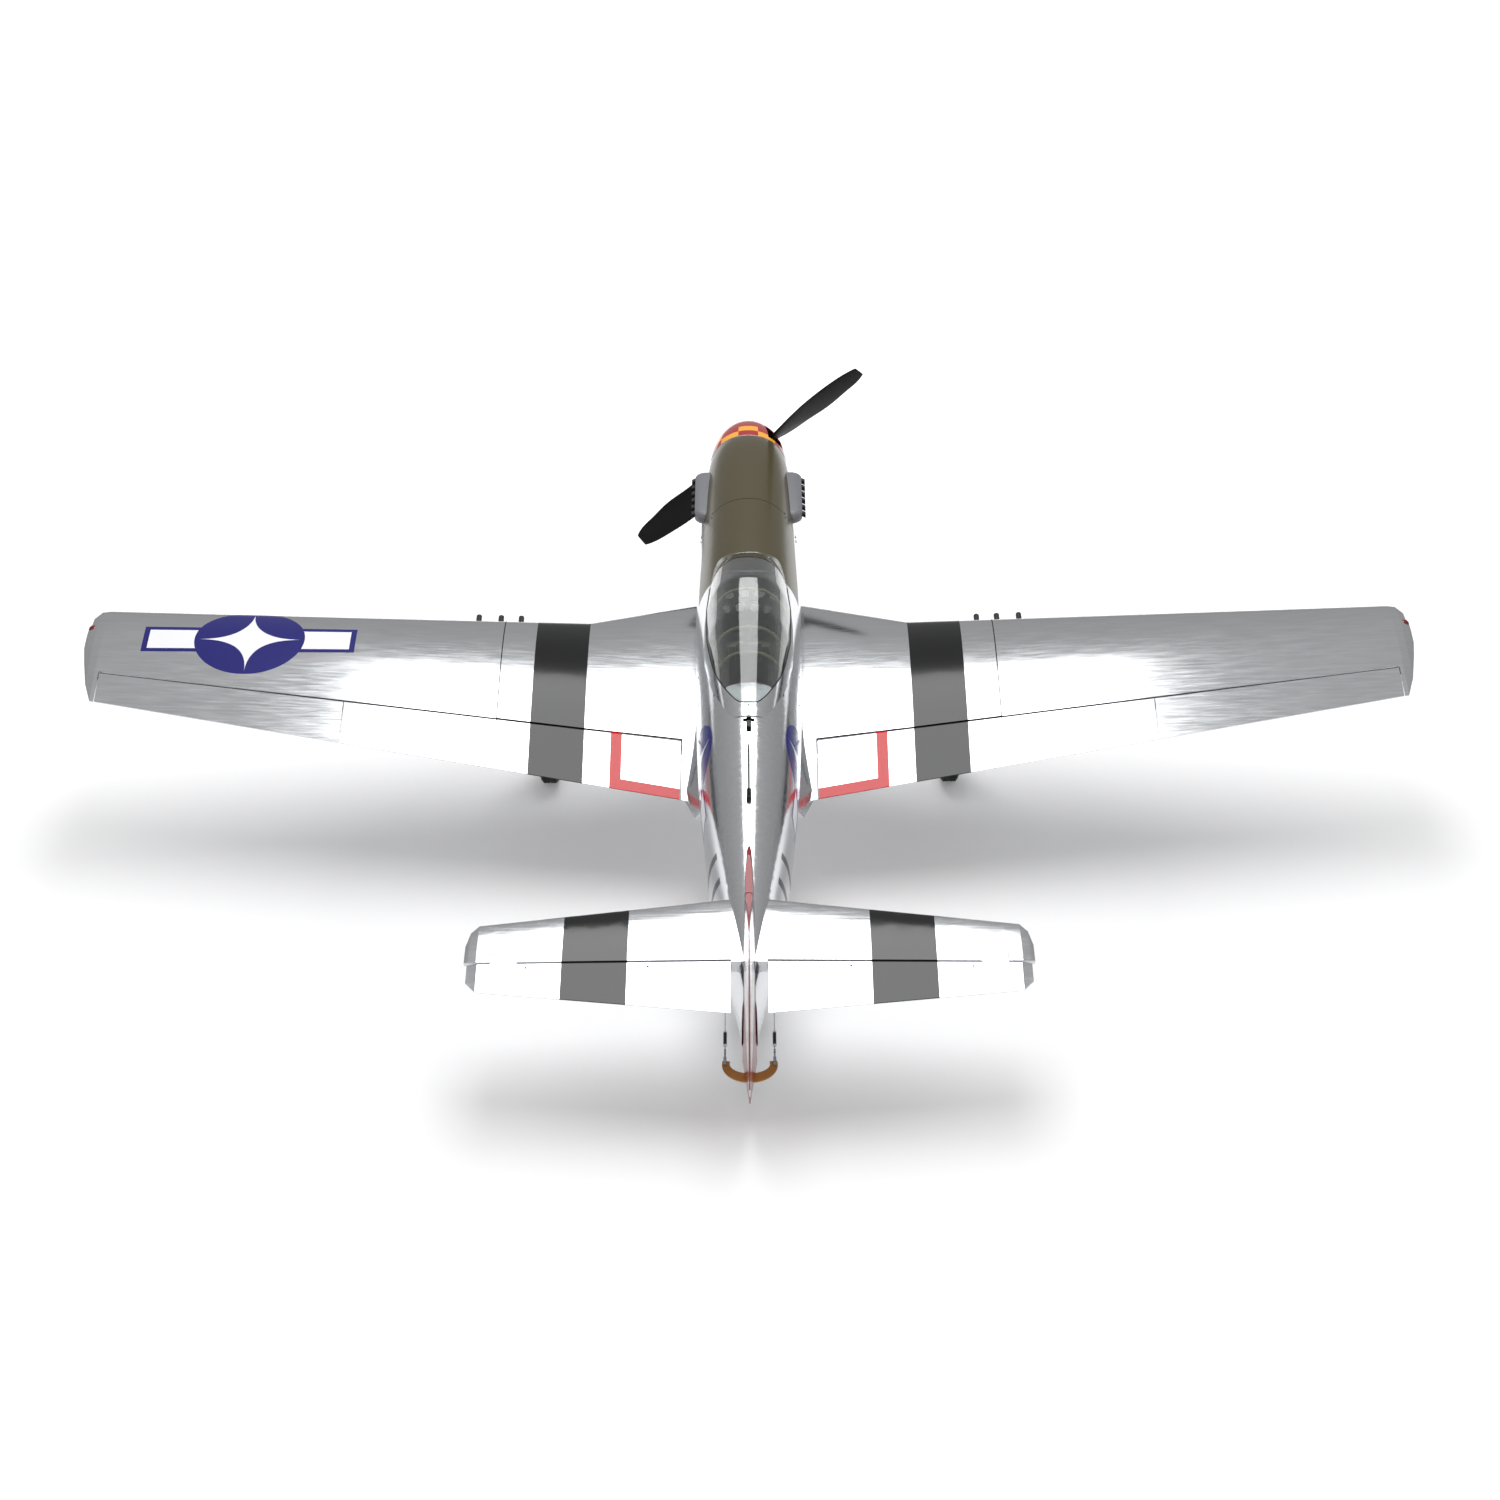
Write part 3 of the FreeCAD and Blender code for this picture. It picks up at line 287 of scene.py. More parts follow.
def bareFilm():
    # plain silver, for ailerons, doors, hatches and the frames of the glass
    material, tree = newMaterial("silverFilmBare")
    finish, wave, x, y, z = silverFilm(tree)
    closeFilm(tree, finish, wave)
    return material


tailBand = (181.0, 278.0)


def tailFilm():
    # a black band on each half of the tailplane
    material, tree = newMaterial("silverFilmTail")
    finish, wave, x, y, z = silverFilm(tree)
    absX = add(tree, "Math", x, operation="ABSOLUTE")
    finish = blackBand(tree, finish, absX, tailBand)
    closeFilm(tree, finish, wave)
    return material


finMarks = {
    "capZ": 258.0,               # above this the tip is red
    "edgeY": -1823.0,            # the red trailing edge, where it passes edgeZ
    "edgeZ": 40.0,
    "edgeLean": 0.2,
    "frontSlope": 1.2,           # the red front part ends on a slanting line
    "frontHeight": 2180.0,
}


def finFilm():
    # dark red film round a silver middle
    material, tree = newMaterial("silverFilmFin")
    finish, wave, x, y, z = silverFilm(tree)
    marks = finMarks
    cap = add(tree, "Math", z, marks["capZ"], operation="GREATER_THAN")
    behind = add(tree, "Math", y, marks["edgeY"], operation="SUBTRACT")
    height = add(tree, "Math", z, marks["edgeZ"], operation="SUBTRACT")
    lean = add(tree, "Math", height, marks["edgeLean"], operation="MULTIPLY")
    trailing = add(tree, "Math", behind, lean, operation="LESS_THAN")
    slope = add(tree, "Math", y, marks["frontSlope"], marks["frontHeight"], operation="MULTIPLY_ADD")
    low = add(tree, "Math", z, slope, operation="LESS_THAN")
    finish = paint(tree, finish, either(tree, cap, trailing, low), filmLook["darkRed"], 0.0, 0.2)
    closeFilm(tree, finish, wave)
    return material


bodyMarks = {
    "emblemY": -1080.0,
    "emblemZ": 10.0,
    "emblemRadius": 78.0,
    "strokes": (-1330.0, -1390.0, -1450.0),
    "strokeWidth": 16.0,
    "strokeZ": (-50.0, 62.0),
    "strokeLean": 0.35,
    "strokeColor": "#20232b",
    "sideFrom": 30.0,            # nearer the middle than this is the spine or the belly
    "olive": "#48422d",
    "oliveZ": 36.0,
    "oliveEnd": -640.0,
    "cowlSeam": -400.0,
    "seamWidth": 1.6,
}


def bodyFilm():
    # silver lacquer over a moulded glass-fibre shell, with the same gloss as the film, and
    # a duller olive top in front of the pilot against glare
    material, tree = newMaterial("silverLacquerFuselage")
    finish, wave, x, y, z = silverFilm(tree)
    marks = bodyMarks
    absX = add(tree, "Math", x, operation="ABSOLUTE")
    side = add(tree, "Math", absX, marks["sideFrom"], operation="GREATER_THAN")
    u = add(tree, "Math", y, marks["emblemY"], operation="SUBTRACT")
    v = add(tree, "Math", z, marks["emblemZ"], operation="SUBTRACT")
    finish = emblem(tree, finish, u, v, marks["emblemRadius"], side)
    lean = add(tree, "Math", z, marks["strokeLean"], y, operation="MULTIPLY_ADD")
    tall = bandMask(tree, z, *marks["strokeZ"])
    strokes = [bandMask(tree, lean, s - marks["strokeWidth"], s) for s in marks["strokes"]]
    mask = both(tree, tall, side, either(tree, *strokes))
    finish = paint(tree, finish, mask, marks["strokeColor"], 0.0, 0.25)
    top = add(tree, "Math", z, marks["oliveZ"], operation="GREATER_THAN")
    front = add(tree, "Math", y, marks["oliveEnd"], operation="GREATER_THAN")
    finish = paint(tree, finish, both(tree, top, front), marks["olive"], 0.0, 0.3)
    seam = lineMask(tree, y, marks["cowlSeam"], marks["seamWidth"])
    finish = paint(tree, finish, seam, filmLook["seam"], 0.0, 0.8)
    closeFilm(tree, finish, wave)
    return material


spinnerMarks = {
    "row": 20.0,                 # height of one row of checks
    "checks": 12,                # round the spinner
    "base": -130.0,
    "roughness": 0.16,
    "coat": 0.6,
    "yellow": "#f0a41e",
    "red": "#a3161f",
}


def spinnerLacquer():
    # red lacquer on spun aluminium, shiny as a toy, with two rows of yellow checks at its back
    marks = spinnerMarks
    material, tree = newMaterial("redLacquerSpinner")
    vector, x, y, z = airCoordinates(tree)
    angle = add(tree, "Math", x, z, operation="ARCTAN2")
    turns = add(tree, "Math", angle, marks["checks"] / (2.0 * math.pi), 0.5, operation="MULTIPLY_ADD")
    height = add(tree, "Math", y, marks["base"], operation="SUBTRACT")
    rows = add(tree, "Math", height, marks["row"], operation="DIVIDE")
    column = add(tree, "Math", turns, operation="FLOOR")
    row = add(tree, "Math", rows, operation="FLOOR")
    total = add(tree, "Math", column, row, operation="ADD")
    left = add(tree, "Math", total, 2.0, operation="FLOORED_MODULO")
    odd = add(tree, "Math", left, 0.5, operation="GREATER_THAN")
    inRows = add(tree, "Math", rows, 2.0, operation="LESS_THAN")
    finish = {"color": hexColor(marks["red"]), "metallic": 0.0, "roughness": marks["roughness"]}
    finish = paint(tree, finish, both(tree, odd, inRows), marks["yellow"], 0.0, marks["roughness"])
    closeMaterial(tree, finish, coat=marks["coat"])
    return material


def plainFinish(name, color, metallic, roughness, grain=4.0, grainHeight=0.00003, coat=0.0, **uniform):
    # an even finish with a little unevenness in tone and gloss, its grain size in millimetres
    spread = 0.06
    material, tree = newMaterial(name)
    vector = airCoordinates(tree)[0]
    noise = add(tree, "TexNoise", sockets={"Vector": vector, "Scale": 1.0 / grain, "Detail": 3.0})
    tone = add(tree, "MapRange", noise, 0.3, 0.7, 0.9, 1.1)
    shade = add(tree, "VectorMath", hexColor(color)[:3], tone, operation="MULTIPLY")
    rough = add(tree, "MapRange", noise, 0.3, 0.7, max(roughness - spread, 0.02), roughness + spread)
    finish = {"color": shade, "metallic": metallic, "roughness": rough}
    closeMaterial(tree, finish, noise, grainHeight, coat, **uniform)
    return material


def clearSheet():
    # blown clear acrylic, thin enough to look straight through, with a trace of haze
    material, tree = newMaterial("clearAcrylicCanopy")
    vector = airCoordinates(tree)[0]
    haze = add(tree, "TexNoise", sockets={"Vector": vector, "Scale": 0.03, "Detail": 2.0})
    rough = add(tree, "MapRange", haze, 0.3, 0.7, 0.0, 0.03)
    finish = {"color": hexColor("#eef2f2"), "metallic": 0.0, "roughness": rough}
    closeMaterial(tree, finish, **{"Transmission Weight": 1.0, "IOR": 1.49})
    return material


finishes = {
    "wing": wingFilm(),
    "flap": flapFilm(),
    "silver": bareFilm(),
    "tail": tailFilm(),
    "fin": finFilm(),
    "body": bodyFilm(),
    "spinner": spinnerLacquer(),
    "acrylic": clearSheet(),
    # moulded glass-filled nylon: near black, with a soft broad shine
    "propeller": plainFinish("mouldedNylonPropeller", "#0d0c0c", 0.0, 0.4, 2.0,
                             **{"Specular IOR Level": 0.2}),
    # sprayed grey primer: flat and even
    "fairing": plainFinish("greyPrimerFairing", "#6f7075", 0.0, 0.42, 3.0),
    # sooty mild-steel pipe: brown-black and dull
    "pipe": plainFinish("sootBlackPipe", "#161514", 0.2, 0.55, 2.0),
    # birch ply under thin dope: warm, with broad pale and dark patches
    "ply": plainFinish("birchPlyDoped", "#b79a6c", 0.0, 0.6, 12.0),
    # blasted aluminium casting: grainy light grey that blurs what it mirrors
    "castAlloy": plainFinish("castAluminiumBlasted", "#a9acb0", 1.0, 0.45, 1.5),
    # drawn aluminium tube: brighter and smoother than the castings
    "drawnAlloy": plainFinish("drawnAluminiumTube", "#c9cbce", 1.0, 0.25, 2.0),
    # ground steel: darker than aluminium, with sharp small highlights
    "steel": plainFinish("groundSteel", "#9a9c9f", 1.0, 0.28, 1.5),
    # epoxy-glass board: amber, slightly mottled by the weave
    "amber": plainFinish("epoxyGlassBoard", "#b87a26", 0.0, 0.35, 1.2),
    # moulded nylon: soft black
    "blackPlastic": plainFinish("mouldedNylonBlack", "#151619", 0.0, 0.45, 1.5),
    # brushed matt paint: dark olive that swallows light
    "cockpit": plainFinish("oliveCockpitPaint", "#33342a", 0.0, 0.6, 4.0),
    # crackle-black paint of the panel
    "panel": plainFinish("blackPanelPaint", "#17181a", 0.0, 0.55, 3.0),
    # cured rubber: charcoal, dusty and almost without shine
    "rubber": plainFinish("mouldedRubberTyre", "#17171a", 0.0, 0.72, 1.5),
    # turned aluminium wheel: bright with fine unevenness
    "wheel": plainFinish("machinedAluminiumWheel", "#c2c4c8", 1.0, 0.3, 2.0),
    # white nylon: faintly warm
    "paleNylon": plainFinish("whiteNylonInsert", "#d9d9d2", 0.0, 0.4, 1.0),
    # brown leather: pebbled, half shiny
    "leather": plainFinish("brownLeatherCushion", "#4a3323", 0.0, 0.5, 2.5, 0.0002),
    # woven khaki webbing: dry and rough
    "webbing": plainFinish("wovenKhakiWebbing", "#7d7453", 0.0, 0.8, 0.8, 0.0001),
    # painted steel tube: olive brown
    "hoopPaint": plainFinish("oliveBrownTubePaint", "#5a5238", 0.0, 0.5, 3.0),
    # moulded lens: dark red and glossy
    "lamp": plainFinish("darkRedLampLens", "#6b0c14", 0.0, 0.12, 6.0, coat=0.5),
}

dressedNodes = {
    "body": ("fuselage_shell", "cowl", "wing_fillets", "belly_scoop", "canopy_frame"),
    "wing": ("wing_center", "wing_panel_left", "wing_panel_right"),
    "flap": ("flap_inner_left", "flap_inner_right", "flap_outer_left", "flap_outer_right"),
    "silver": ("aileron_left", "aileron_right", "windshield_frame", "gear_door_left", "gear_door_right"),
    "tail": ("stabilizer", "elevator_left", "elevator_right"),
    "fin": ("fin", "rudder"),
    "spinner": ("spinner_cone",),
    "propeller": ("propeller",),
    "acrylic": ("canopy_glass", "windshield_glass"),
    "fairing": ("exhaust_fairings",),
    "pipe": ("exhaust_stacks",),
    "ply": ("firewall", "servo_tray", "tail_mount"),
    "castAlloy": ("engine", "spinner_backplate", "retract_frames", "gear_leg_left", "gear_leg_right"),
    "drawnAlloy": ("wing_tubes",),
    "steel": ("prop_shaft", "gear_pins", "gear_oleo_left", "gear_oleo_right", "pull_cable_left",
              "pull_cable_right", "tail_fork"),
    "amber": ("rudder_horn",),
    "blackPlastic": ("gun_barrels", "rudder_servo", "servo_arm", "hatch_latch", "antenna_mast"),
    "cockpit": ("cockpit_floor", "cockpit_seat"),
    "panel": ("instrument_panel",),
    "rubber": ("main_tyre_left", "main_tyre_right", "tail_tyre"),
    "wheel": ("main_hub_left", "main_hub_right", "tail_hub"),
    "lamp": ("nav_lights",),
}
for finishName, names in dressedNodes.items():
    for name in names:
        dress(name, finishes[finishName])
print("scene: finishes on", sum(len(names) for names in dressedNodes.values()), "parts")


def sharpen(bm, degrees=32.0):
    bmesh.ops.remove_doubles(bm, verts=bm.verts, dist=0.001)
    bmesh.ops.recalc_face_normals(bm, faces=bm.faces)
    for face in bm.faces:
        face.smooth = True
    for edge in bm.edges:
        if len(edge.link_faces) == 2 and edge.calc_face_angle() > math.radians(degrees):
            edge.smooth = False


def bring(name, bm, finish, body, stands=(), place=None, bevel=0.0, subdivide=0):
    # turns mesh code into a piece that rides a body and may stand for CAD nodes
    sharpen(bm)
    bm.transform(place or airToRow)
    mesh = bpy.data.meshes.new(name)
    bm.to_mesh(mesh)
    bm.free()
    mesh.materials.append(finishes[finish])
    piece = bpy.data.objects.new(name, mesh)
    bpy.context.scene.collection.objects.link(piece)
    if bevel:
        edge = piece.modifiers.new("softEdge", "BEVEL")
        edge.width = bevel * 0.001
        edge.segments = 2
        edge.limit_method = "ANGLE"
        edge.angle_limit = math.radians(32.0)
    if subdivide:
        smooth = piece.modifiers.new("smoothForm", "SUBSURF")
        smooth.levels = smooth.render_levels = subdivide
    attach(piece, body)
    if stands:
        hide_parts(*stands)
    return piece


def sweep(bm, rings, closed=False, caps=True):
    rows = [[bm.verts.new(point) for point in ring] for ring in rings]
    count = len(rows[0])
    pairs = list(zip(rows, rows[1:])) + ([(rows[-1], rows[0])] if closed else [])
    for a, b in pairs:
        for i in range(count):
            j = (i + 1) % count
            bm.faces.new((a[i], a[j], b[j], b[i]))
    if caps and not closed:
        bm.faces.new(rows[0][::-1])
        bm.faces.new(rows[-1])


def crossAxes(direction):
    direction = Vector(direction).normalized()
    side = direction.cross(Vector((0, 0, 1)) if abs(direction.z) < 0.9 else Vector((1, 0, 0))).normalized()
    return direction, side, direction.cross(side)


def lathe(bm, centre, direction, profile, segments=48, closed=False, shape=None):
    # turns a profile of (distance along, radius) about an axis
    direction, side, other = crossAxes(direction)
    rings = []
    for k, (along, radius) in enumerate(profile):
        ring = []
        for i in range(segments):
            angle = 2.0 * math.pi * i / segments
            r = shape(k, i, radius) if shape else radius
            out = side * math.cos(angle) + other * math.sin(angle)
            ring.append(Vector(centre) + direction * along + out * r)
        rings.append(ring)
    sweep(bm, rings, closed=closed)


def tube(bm, path, radius, segments=12, closed=False):
    path = [Vector(p) for p in path]
    rings = []
    last = None
    for i, point in enumerate(path):
        before = path[i - 1] if i or closed else point
        after = path[(i + 1) % len(path)] if i + 1 < len(path) or closed else point
        direction, side, other = crossAxes(after - before)
        if last is not None:
            side = (last - direction * last.dot(direction)).normalized()
            other = direction.cross(side)
        last = side
        r = radius[i] if isinstance(radius, (list, tuple)) else radius
        rings.append([point + (side * math.cos(a) + other * math.sin(a)) * r
                      for a in (2.0 * math.pi * k / segments for k in range(segments))])
    sweep(bm, rings, closed=closed)


def roundedRing(width, height, corner, steps=5):
    # outline of a rectangle with round corners, as flat pairs
    points = []
    for cx, cy, start in ((1, 1, 0), (-1, 1, 90), (-1, -1, 180), (1, -1, 270)):
        for k in range(steps + 1):
            a = math.radians(start + 90.0 * k / steps)
            points.append((cx * (width / 2.0 - corner) + corner * math.cos(a),
                           cy * (height / 2.0 - corner) + corner * math.sin(a)))
    return points


def pad(bm, centre, size, corner, dome=0.0, steps=5):
    # a block with round corners seen from above and a softly domed top, standing along z
    width, depth, height = size
    rings = []
    for share, shrink in ((0.0, 0.0), (0.55, 0.0), (0.85, 0.04), (1.0, 0.14), (1.0 + dome, 0.4)):
        outline = roundedRing(width * (1 - shrink), depth * (1 - shrink), corner * (1 - shrink * 0.5), steps)
        rings.append([Vector(centre) + Vector((u, v, height * share)) for u, v in outline])
    sweep(bm, rings)


def surfaceSpot(node, origin, direction):
    # where a line in the aircraft's axes first meets a CAD node: point and outward normal
    start = airToRow @ Vector(origin)
    heading = (airToRow.to_3x3() @ Vector(direction)).normalized()
    hit, point, normal, index = frame["nodes"][node].ray_cast(start, heading)
    if not hit:
        return None
    back = airToRow.inverted()
    return back @ point, (back.to_3x3() @ normal).normalized()


def screwHead(bm, point, normal, radius):
    # a button-head screw with its socket, sunk a millimetre into what it holds
    top = 0.66 * radius
    socket = 0.42 * radius
    profile = [(-1.0, radius), (0.35 * radius, radius), (0.62 * radius, 0.75 * radius),
               (top, 0.5 * radius), (top, socket), (0.1, socket)]
    lathe(bm, point, normal, profile, 18)


exhaustSizes = {
    "pitch": 22.0,
    "first": -232.0,
    "pipes": 6,
    "height": 35.0,
    "pipeRadius": 4.9,
    "fishtail": 1.35,        # each pipe is this much wider along the nose than it is tall
    "wall": 1.1,
    "middle": -287.0,
    "shroudLength": 150.0,
    "shroudHeight": 26.0,
    "corner": 12.5,
    # out from the centre line, how far the outline has drawn in, and how far its ends have
    "shroudSteps": ((62, 0, 0), (80, 0, 0), (87, 0.5, 2.0), (92.5, 1.8, 6.0), (96, 3.9, 11.0),
                    (96.6, 6.4, 14.5), (92.5, 7.4, 16.0)),
    # each pipe's bend: out from the centre line, and along from its own place
    "pipeBend": ((84, 5.0), (92, 3.6), (97, 1.6), (100.6, -1.0), (102.8, -3.6)),
}


def pipeRing(centre, radius, stretch):
    ring = []
    for k in range(20):
        a = 2.0 * math.pi * k / 20
        ring.append(centre + Vector((0, math.cos(a) * radius * stretch, math.sin(a) * radius)))
    return ring


def makeExhausts():
    sizes = exhaustSizes
    shroud = bmesh.new()
    pipes = bmesh.new()
    for side in (1.0, -1.0):
        rings = []
        for x, inset, ends in sizes["shroudSteps"]:
            length = sizes["shroudLength"] - 2 * ends
            height = sizes["shroudHeight"] - 2 * inset
            outline = roundedRing(length, height, max(sizes["corner"] - inset, 2.0), 7)
            rings.append([Vector((side * x, sizes["middle"] + u, sizes["height"] + v)) for u, v in outline])
        sweep(shroud, rings)
        for i in range(sizes["pipes"]):
            y = sizes["first"] - i * sizes["pitch"]
            bend = [Vector((side * px, y + py, sizes["height"])) for px, py in sizes["pipeBend"]]
            outer = [pipeRing(point, sizes["pipeRadius"], sizes["fishtail"]) for point in bend]
            bore = sizes["pipeRadius"] - sizes["wall"]
            inner = [pipeRing(point, bore, sizes["fishtail"]) for point in bend[::-1][:3]]
            sweep(pipes, outer + inner)
    bring("exhaustShrouds", shroud, "fairing", "airframe", ("exhaust_fairings",))
    bring("exhaustPipes", pipes, "pipe", "airframe", ("exhaust_stacks",))


hornSizes = {
    "reach": 37.0,           # hinge line to each cable
    "height": -53.0,
    "hingeY": -1712.0,
    "thickness": 2.4,
    "outer": (41.5, 38.0),   # half width and depth of the crescent's two edges
    "inner": (30.0, 21.0),
    "sweep": 104.0,          # degrees each side of dead ahead
    "screwRadius": 2.2,
}


def makeRudderHorn():
    # an epoxy-glass crescent on a small centre pad, held by two screws
    sizes = hornSizes
    bm = bmesh.new()
    rings = []
    for i in range(33):
        a = math.radians(sizes["sweep"] * (2.0 * i / 32 - 1.0))
        edges = []
        for (wide, deep), shift in ((sizes["outer"], -1.0), (sizes["inner"], 1.0)):
            edges.append((wide * math.sin(a), sizes["hingeY"] + shift - deep * math.cos(a)))
        low = sizes["height"] - sizes["thickness"] / 2.0
        high = sizes["height"] + sizes["thickness"] / 2.0
        (outX, outY), (inX, inY) = edges
        rings.append([Vector((inX, inY, low)), Vector((outX, outY, low)),
                      Vector((outX, outY, high)), Vector((inX, inY, high))])
    sweep(bm, rings)
    pad(bm, (0, sizes["hingeY"] - 24.0, sizes["height"] - 1.0), (14.0, 20.0, 8.2), 4.0)
    bring("rudderHornCrescent", bm, "amber", "rudder_body", ("rudder_horn",), bevel=0.35)
    bolts = bmesh.new()
    for x in (-3.6, 3.6):
        at = Vector((x, sizes["hingeY"] - 31.0, sizes["height"] - 1.2))
        screwHead(bolts, at, Vector((0, 0, -1)), sizes["screwRadius"])
    bring("hornScrews", bolts, "steel", "rudder_body")


linkSizes = {
    "barrelRadius": 2.7,
    "barrelLength": 26.0,
    "barrelGrooves": 7,
    "groovePitch": 3.2,
    "grooveDepth": 0.5,
    "hexRadius": 3.1,
    "cableRadius": 0.75,
    "ferruleRadius": 1.7,
    "armY": -1330.0,         # the servo arm's shaft
    "forkGap": 2.4,          # clevis plate to the middle of the horn
}


def makeClevis(bm, at, way):
    # a threaded end, two plates either side of the horn, and the pin with its clip
    sizes = linkSizes
    shank = [(0, 1.5), (1.0, 2.4), (5.0, 2.4), (5.6, 1.5), (14.0, 1.5), (14.0, sizes["ferruleRadius"]),
             (22.0, sizes["ferruleRadius"]), (22.6, 1.0)]
    lathe(bm, at + Vector((0, way * 11.5, 0)), (0, way, 0), shank, 16)
    for level in (-sizes["forkGap"], sizes["forkGap"]):
        outline = [(-2.0, -3.0), (-2.0, 13.0), (2.0, 13.0), (2.0, -3.0), (0.0, -4.0)]
        sweep(bm, [[at + Vector((px, way * py, level + h)) for px, py in outline] for h in (-0.6, 0.6)])
    lathe(bm, at + Vector((0, 0, -3.3)), (0, 0, 1), [(0, 0.5), (0.1, 0.8), (6.5, 0.8), (6.6, 0.5)], 12)
    lathe(bm, at + Vector((0, 0, -3.4)), (0, 0, 1), [(0, 1.5), (0.5, 1.7), (0.9, 1.5)], 12)


def makePullCables():
    # braided cable between two clevises, with a ribbed turnbuckle and its lock nuts near the rudder
    sizes = linkSizes
    z = hornSizes["height"]
    hornY = hornSizes["hingeY"]
    barrel = sizes["barrelRadius"]
    for side, label in ((1.0, "right"), (-1.0, "left")):
        x = side * hornSizes["reach"]
        metal = bmesh.new()
        length = sizes["armY"] - hornY - 40.0
        strand = [(0, sizes["cableRadius"]), (length, sizes["cableRadius"])]
        lathe(metal, (x, hornY + 26.0, z), (0, 1, 0), strand, 10)
        makeClevis(metal, Vector((x, hornY, z)), 1.0)
        makeClevis(metal, Vector((x, sizes["armY"], z)), -1.0)
        body = "cable_body_" + label
        bring("pullCableLine_" + label, metal, "steel", body, ("pull_cable_" + label,))
        sleeve = bmesh.new()
        profile = [(0, 1.8), (0.6, barrel)]
        for k in range(sizes["barrelGrooves"]):
            start = 2.0 + sizes["groovePitch"] * k
            profile += [(start, barrel), (start + 0.8, barrel - sizes["grooveDepth"]), (start + 1.6, barrel)]
        profile += [(sizes["barrelLength"] - 0.6, barrel), (sizes["barrelLength"], 1.8)]
        lathe(sleeve, (x, hornY + 44.0, z), (0, 1, 0), profile, 18)
        bring("turnbuckle_" + label, sleeve, "blackPlastic", body)
        nuts = bmesh.new()
        hexagon = [(0, 1.7), (0.3, sizes["hexRadius"]), (2.3, sizes["hexRadius"]), (2.6, 1.7)]
        for y in (hornY + 41.0, hornY + 70.4):
            lathe(nuts, (x, y, z), (0, 1, 0), hexagon, 6)
        bring("lockNuts_" + label, nuts, "paleNylon", body)


tyreSizes = {
    "treadBlocks": 44,
    "grooveDepth": 1.3,
    "bolts": 6,
}


def tyreRings(radius, width, rim):
    half = width / 2.0
    rows = [(0.90, rim + 0.2), (1.0, rim + 0.16 * (radius - rim)), (1.0, rim + 0.42 * (radius - rim)),
            (0.94, rim + 0.66 * (radius - rim)), (0.80, rim + 0.86 * (radius - rim)), (0.60, radius - 0.6)]
    left = [(-half * a, r) for a, r in rows]
    depth = tyreSizes["grooveDepth"]
    middle = []
    for low, high in ((-0.56, -0.38), (-0.30, -0.06), (0.06, 0.30), (0.38, 0.56)):
        middle += [(half * low, radius - depth), (half * low, radius)]
        middle += [(half * high, radius), (half * high, radius - depth)]
    right = [(half * a, r) for a, r in rows[::-1]]
    return left + middle + right, len(left), len(left) + len(middle)


def makeWheel(label, tyreNode, hubNode, centre, size, body):
    # a ribbed tyre with cross cuts in its outer ribs, on a dished wheel with small bolts
    radius, width, rim, bore = size
    bm = bmesh.new()
    profile, start, stop = tyreRings(radius, width, rim)
    blocks = tyreSizes["treadBlocks"]

    def tread(k, i, r):
        outerRow = start <= k < start + 4 or stop - 4 <= k < stop
        cut = tyreSizes["grooveDepth"] * 0.7 if outerRow and i % 4 == 0 else 0.0
        return r - cut if r > radius - 0.5 else r

    lathe(bm, centre, (1, 0, 0), profile, blocks * 4, closed=True, shape=tread)
    bring("tyreTread_" + label, bm, "rubber", body, (tyreNode,))
    hub = bmesh.new()
    half = width / 2.0
    outer = [(-1.0, rim), (-1.0, 0.92 * rim), (-0.90, 0.88 * rim), (-0.60, 0.83 * rim), (-0.42, 0.46 * rim),
             (-0.62, 0.36 * rim), (-1.04, 0.30 * rim), (-1.04, bore + 0.1)]
    profile = [(half * a, r) for a, r in outer]
    profile += [(-a, r) for a, r in profile[::-1]]
    lathe(hub, centre, (1, 0, 0), profile, 72, closed=True)
    for i in range(tyreSizes["bolts"]):
        a = 2.0 * math.pi * i / tyreSizes["bolts"]
        for side in (-1.0, 1.0):
            ring = 0.64 * rim
            at = Vector(centre) + Vector((side * half * 0.52, ring * math.cos(a), ring * math.sin(a)))
            screwHead(hub, at, Vector((side, 0, 0)), rim * 0.075)
    bring("wheelRim_" + label, hub, "wheel", body, (hubNode,), bevel=0.3)


wheelSizes = {               # tyre radius, width, rim radius, axle bore
    "main": (68.5, 38.0, 34.0, 4.0),
    "tail": (31.75, 18.0, 16.0, 3.0),
}


def makeWheels():
    back = airToRow.inverted()
    for side in ("left", "right"):
        centre = back @ Vector(joints["main_wheel_" + side + "_spin"]["pos_m"])
        makeWheel("main_" + side, "main_tyre_" + side, "main_hub_" + side, centre, wheelSizes["main"],
                  "main_wheel_body_" + side)
    centre = back @ Vector(joints["tail_wheel_spin"]["pos_m"])
    makeWheel("tail", "tail_tyre", "tail_hub", centre, wheelSizes["tail"], "tail_wheel_body")


legSizes = {
    "bore": 11.05,           # collars and hose clips close round the leg
    "collar": 13.6,
    "collars": ((-34.0, -24.0), (-125.0, -112.0)),
    "linkReach": 21.6,       # the knee stands this far behind the leg's front hinge
    "linkWidth": 11.0,
    "kneeWidth": 6.0,
    "linkThickness": 3.0,
    "clips": (-40.0, -75.0, -103.0),
    "clipRadius": 12.4,
    "hoseRadius": 1.5,
    "hoseOut": 13.0,
}


